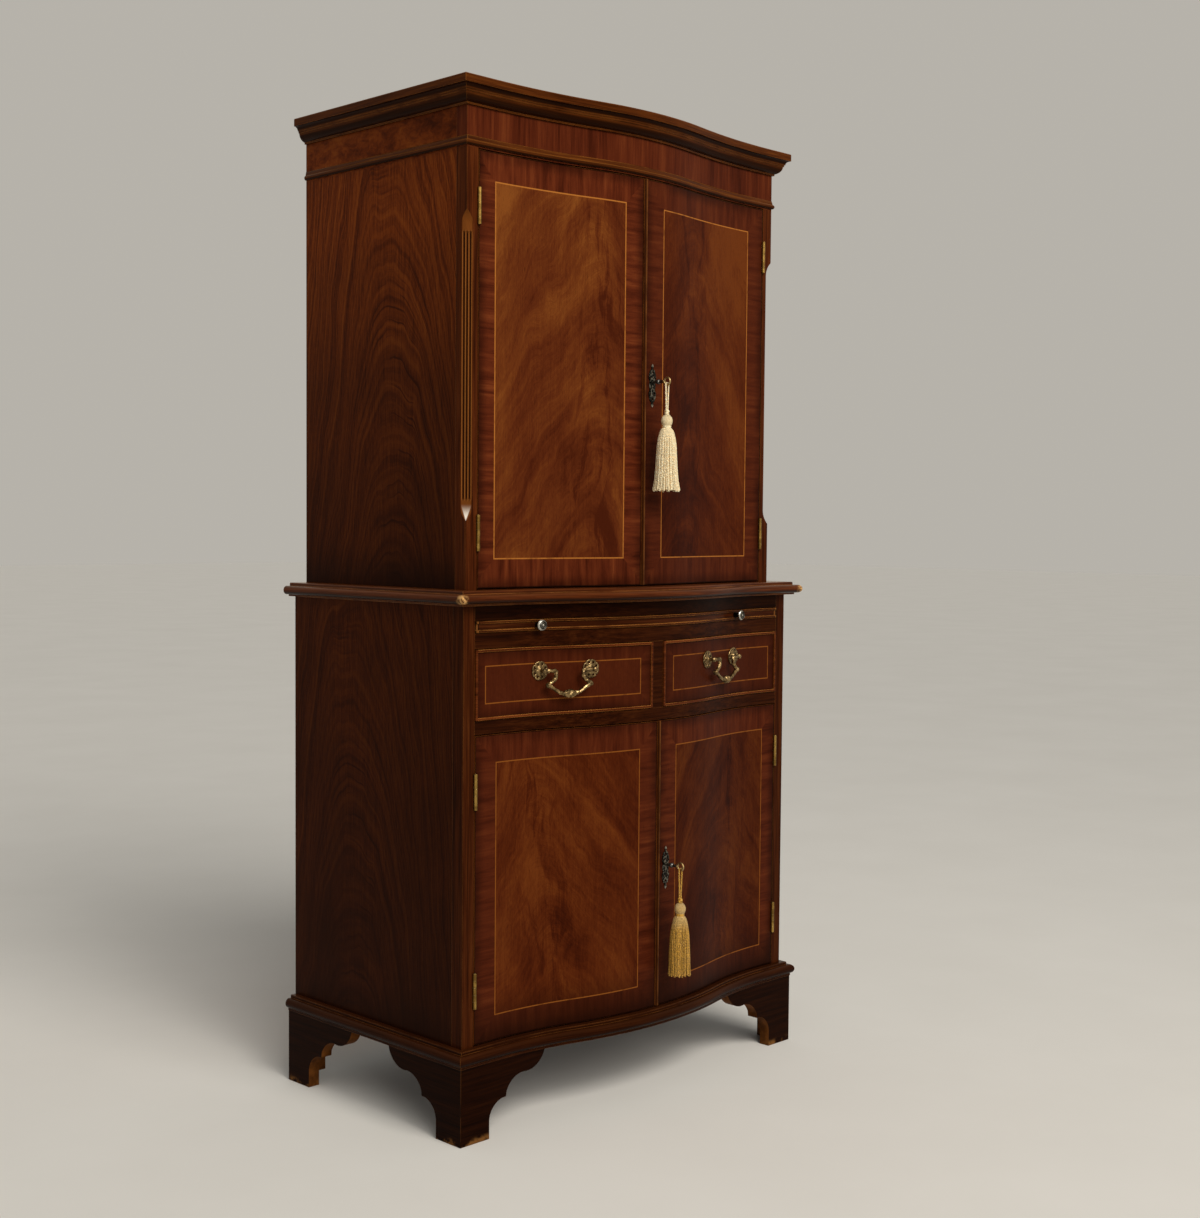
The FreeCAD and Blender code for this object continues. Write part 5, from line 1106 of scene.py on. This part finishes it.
def make_skirt(case, paths, body, finish):
    """All strands of one tassel as one piece."""
    strands = draw_lines(f"{case}_strand_lines", paths, along=2, round_it=1)
    strands.data.use_fill_caps = True
    bpy.context.view_layer.update()
    mesh = bpy.data.meshes.new_from_object(strands.evaluated_get(bpy.context.evaluated_depsgraph_get()))
    bpy.data.objects.remove(strands)
    for polygon in mesh.polygons:
        polygon.use_smooth = True
    return show(f"{case}_tassel_skirt", mesh, body, finish)


print("rings in a knot:", len(KNOT_RINGS))

# %% [markdown]
# Both tassels are made the same way, only their silk, bell and seed differ.

# %% Tassels
for case, seed, length in (("upper", 11, 0.0900), ("lower", 23, 0.1000)):
    slot, pale, deep = SILK_SHADES[case]
    low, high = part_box(f"{case}_tassel")
    axis = Vector(((low.x + high.x) / 2, (low.y + high.y) / 2, high.z))
    neck = high.z - NECK_DROP
    body = f"{case}_tassel_body"
    head_silk = silk(f"{case}_head_silk", slot, *HEAD_SHADES[case],
                     upright_threads(axis.x, axis.y, HEAD_THREADS))
    strand_silk = silk(f"{case}_strand_silk", slot, pale, deep, twisted(turns=34.0, plies=2.0),
                       shoulder=(neck - SHOULDER_DROP, HEAD_SHADES[case][0]))
    cord_silk = silk(f"{case}_cord_silk", slot, pale, deep, twisted(turns=26.0, plies=3.0))
    dress(f"{case}_tassel", strand_silk)
    dress(f"{case}_tassel_cord", cord_silk)
    make_head(case, axis, body, head_silk)
    make_binding(case, axis, body, cord_silk)
    paths = strand_paths(case, axis, neck, neck - low.z - HEM_GAP, seed)
    skirt = make_skirt(case, paths, body, strand_silk)
    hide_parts(f"{case}_tassel")
    cord, start = cords[case]
    cord.data.materials.append(cord_silk)
    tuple(start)
    print(case, "skirt faces:", len(skirt.data.polygons))
print("not dressed:", sorted(set(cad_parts) - dressed))

# %% [markdown]
# The handles are castings: their surfaces are chased with leaves, and no two spots are alike. A slightly
# fuller copy of each bail and each pair of roses, with its edges cut fine enough to take small lumps,
# gives that relief. The bail's copy hangs on the bail's body, so it swings with it.

# %% Chased handles
EDGE_LIMITS = (0.003, 0.0016)
relief_texture = bpy.data.textures.new("chased_lumps", "CLOUDS")
relief_texture.noise_scale = 0.0035
relief_texture.noise_depth = 1


def chase(node, body, fuller, lumps):
    """A fuller copy of a casting, with lumps all over."""
    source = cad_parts[node]
    work = bmesh.new()
    work.from_mesh(source.data)
    work.transform(source.matrix_world)
    bmesh.ops.remove_doubles(work, verts=work.verts, dist=DOUBLES)
    for limit in EDGE_LIMITS:
        longer = [edge for edge in work.edges if edge.calc_length() > limit]
        bmesh.ops.subdivide_edges(work, edges=longer, cuts=1)
        bmesh.ops.triangulate(work, faces=[face for face in work.faces if len(face.verts) > 3])
    piece = show(f"{node}_chasing", close_mesh(work, f"{node}_chasing"), body, metals["handle"])
    swell = piece.modifiers.new("fuller", "DISPLACE")
    swell.strength = fuller
    swell.mid_level = 0
    lump = piece.modifiers.new("chased", "DISPLACE")
    lump.texture = relief_texture
    lump.texture_coords = "LOCAL"
    lump.strength = lumps
    lump.mid_level = 0.5
    return len(piece.data.polygons)


for hand in ("left", "right"):
    bail = chase(f"{hand}_bail", f"{hand}_bail_body", fuller=0.0009, lumps=0.0026)
    roses = chase(f"{hand}_handle_roses", f"{hand}_drawer_body", fuller=0.0003, lumps=0.0012)
    print(hand, "bail and rose faces:", bail, roses)

# %% [markdown]
# The floor is plain and pale and runs to the horizon.

# %% Floor
FLOOR_REACH, FLOOR_GAP = 30, 0.0006
floor_mesh = bpy.data.meshes.new("studio_floor")
work = bmesh.new()
bmesh.ops.create_grid(work, x_segments=1, y_segments=1, size=FLOOR_REACH)
bmesh.ops.translate(work, verts=work.verts, vec=(0, 0, -FLOOR_GAP))
work.to_mesh(floor_mesh)
work.free()
studio_floor = bpy.data.objects.new("studio_floor", floor_mesh)
scene.collection.objects.link(studio_floor)
floor_paint, bench, shader, spot = new_finish("floor_paint", "floor", Roughness=0.85,
                                              Specular_IOR_Level=0.1)
mottled = bench.noise(spot["Object"], 5, 0.6, scale=2.2)
bench.feed(shader["Base Color"], bench.blend(mottled, (0.77, 0.73, 0.66), (0.85, 0.81, 0.74)))
floor_mesh.materials.append(floor_paint)

print("floor paint:", floor_paint.name)

# %% [markdown]
# The world is pale for the camera, paler and warmer for what shines, and dim as a light. A high soft
# window in front and a little to the left, and wide daylight from the same side, keep the front bright
# and let the side fall into shade.

# %% Light
world = bpy.data.worlds.new("studio")
scene.world = world
world.use_nodes = True
world.node_tree.nodes.clear()
bench = Bench(world.node_tree)
paths = bench.values(bench.node("ShaderNodeLightPath"))
seen = bench.sum("MAXIMUM", paths["Is Camera Ray"], paths["Is Transmission Ray"])
unseen = bench.blend(paths["Is Glossy Ray"], (0.234, 0.239, 0.239), (0.66, 0.60, 0.50))
sky = bench.result("ShaderNodeBackground", {"Color": bench.blend(seen, unseen, (0.470, 0.446, 0.402))})
bench.feed(bench.node("ShaderNodeOutputWorld").inputs["Surface"], sky)


def add_lamp(name, kind, away, place=(0, 0, 0), **settings):
    """A lamp at a place, with its back turned toward away."""
    lamp = bpy.data.lights.new(name, kind)
    for key, value in settings.items():
        setattr(lamp, key, value)
    holder = bpy.data.objects.new(name, lamp)
    scene.collection.objects.link(holder)
    holder.matrix_world = Matrix.Translation(place) @ away.to_track_quat("Z", "Y").to_matrix().to_4x4()


WINDOW, WINDOW_AIM = Vector((-0.5, -2.7, 3.0)), Vector((0, -0.2, 1.25))
add_lamp("high_window", "AREA", WINDOW - WINDOW_AIM, WINDOW, shape="RECTANGLE", size=1.5, size_y=1.2,
         energy=46, color=(1.0, 0.97, 0.92))
add_lamp("day_light", "SUN", Vector((-0.22, -0.78, 0.60)), energy=1.75, angle=math.radians(45),
         color=(1.0, 0.98, 0.95))
scene.view_settings.view_transform = "Standard"
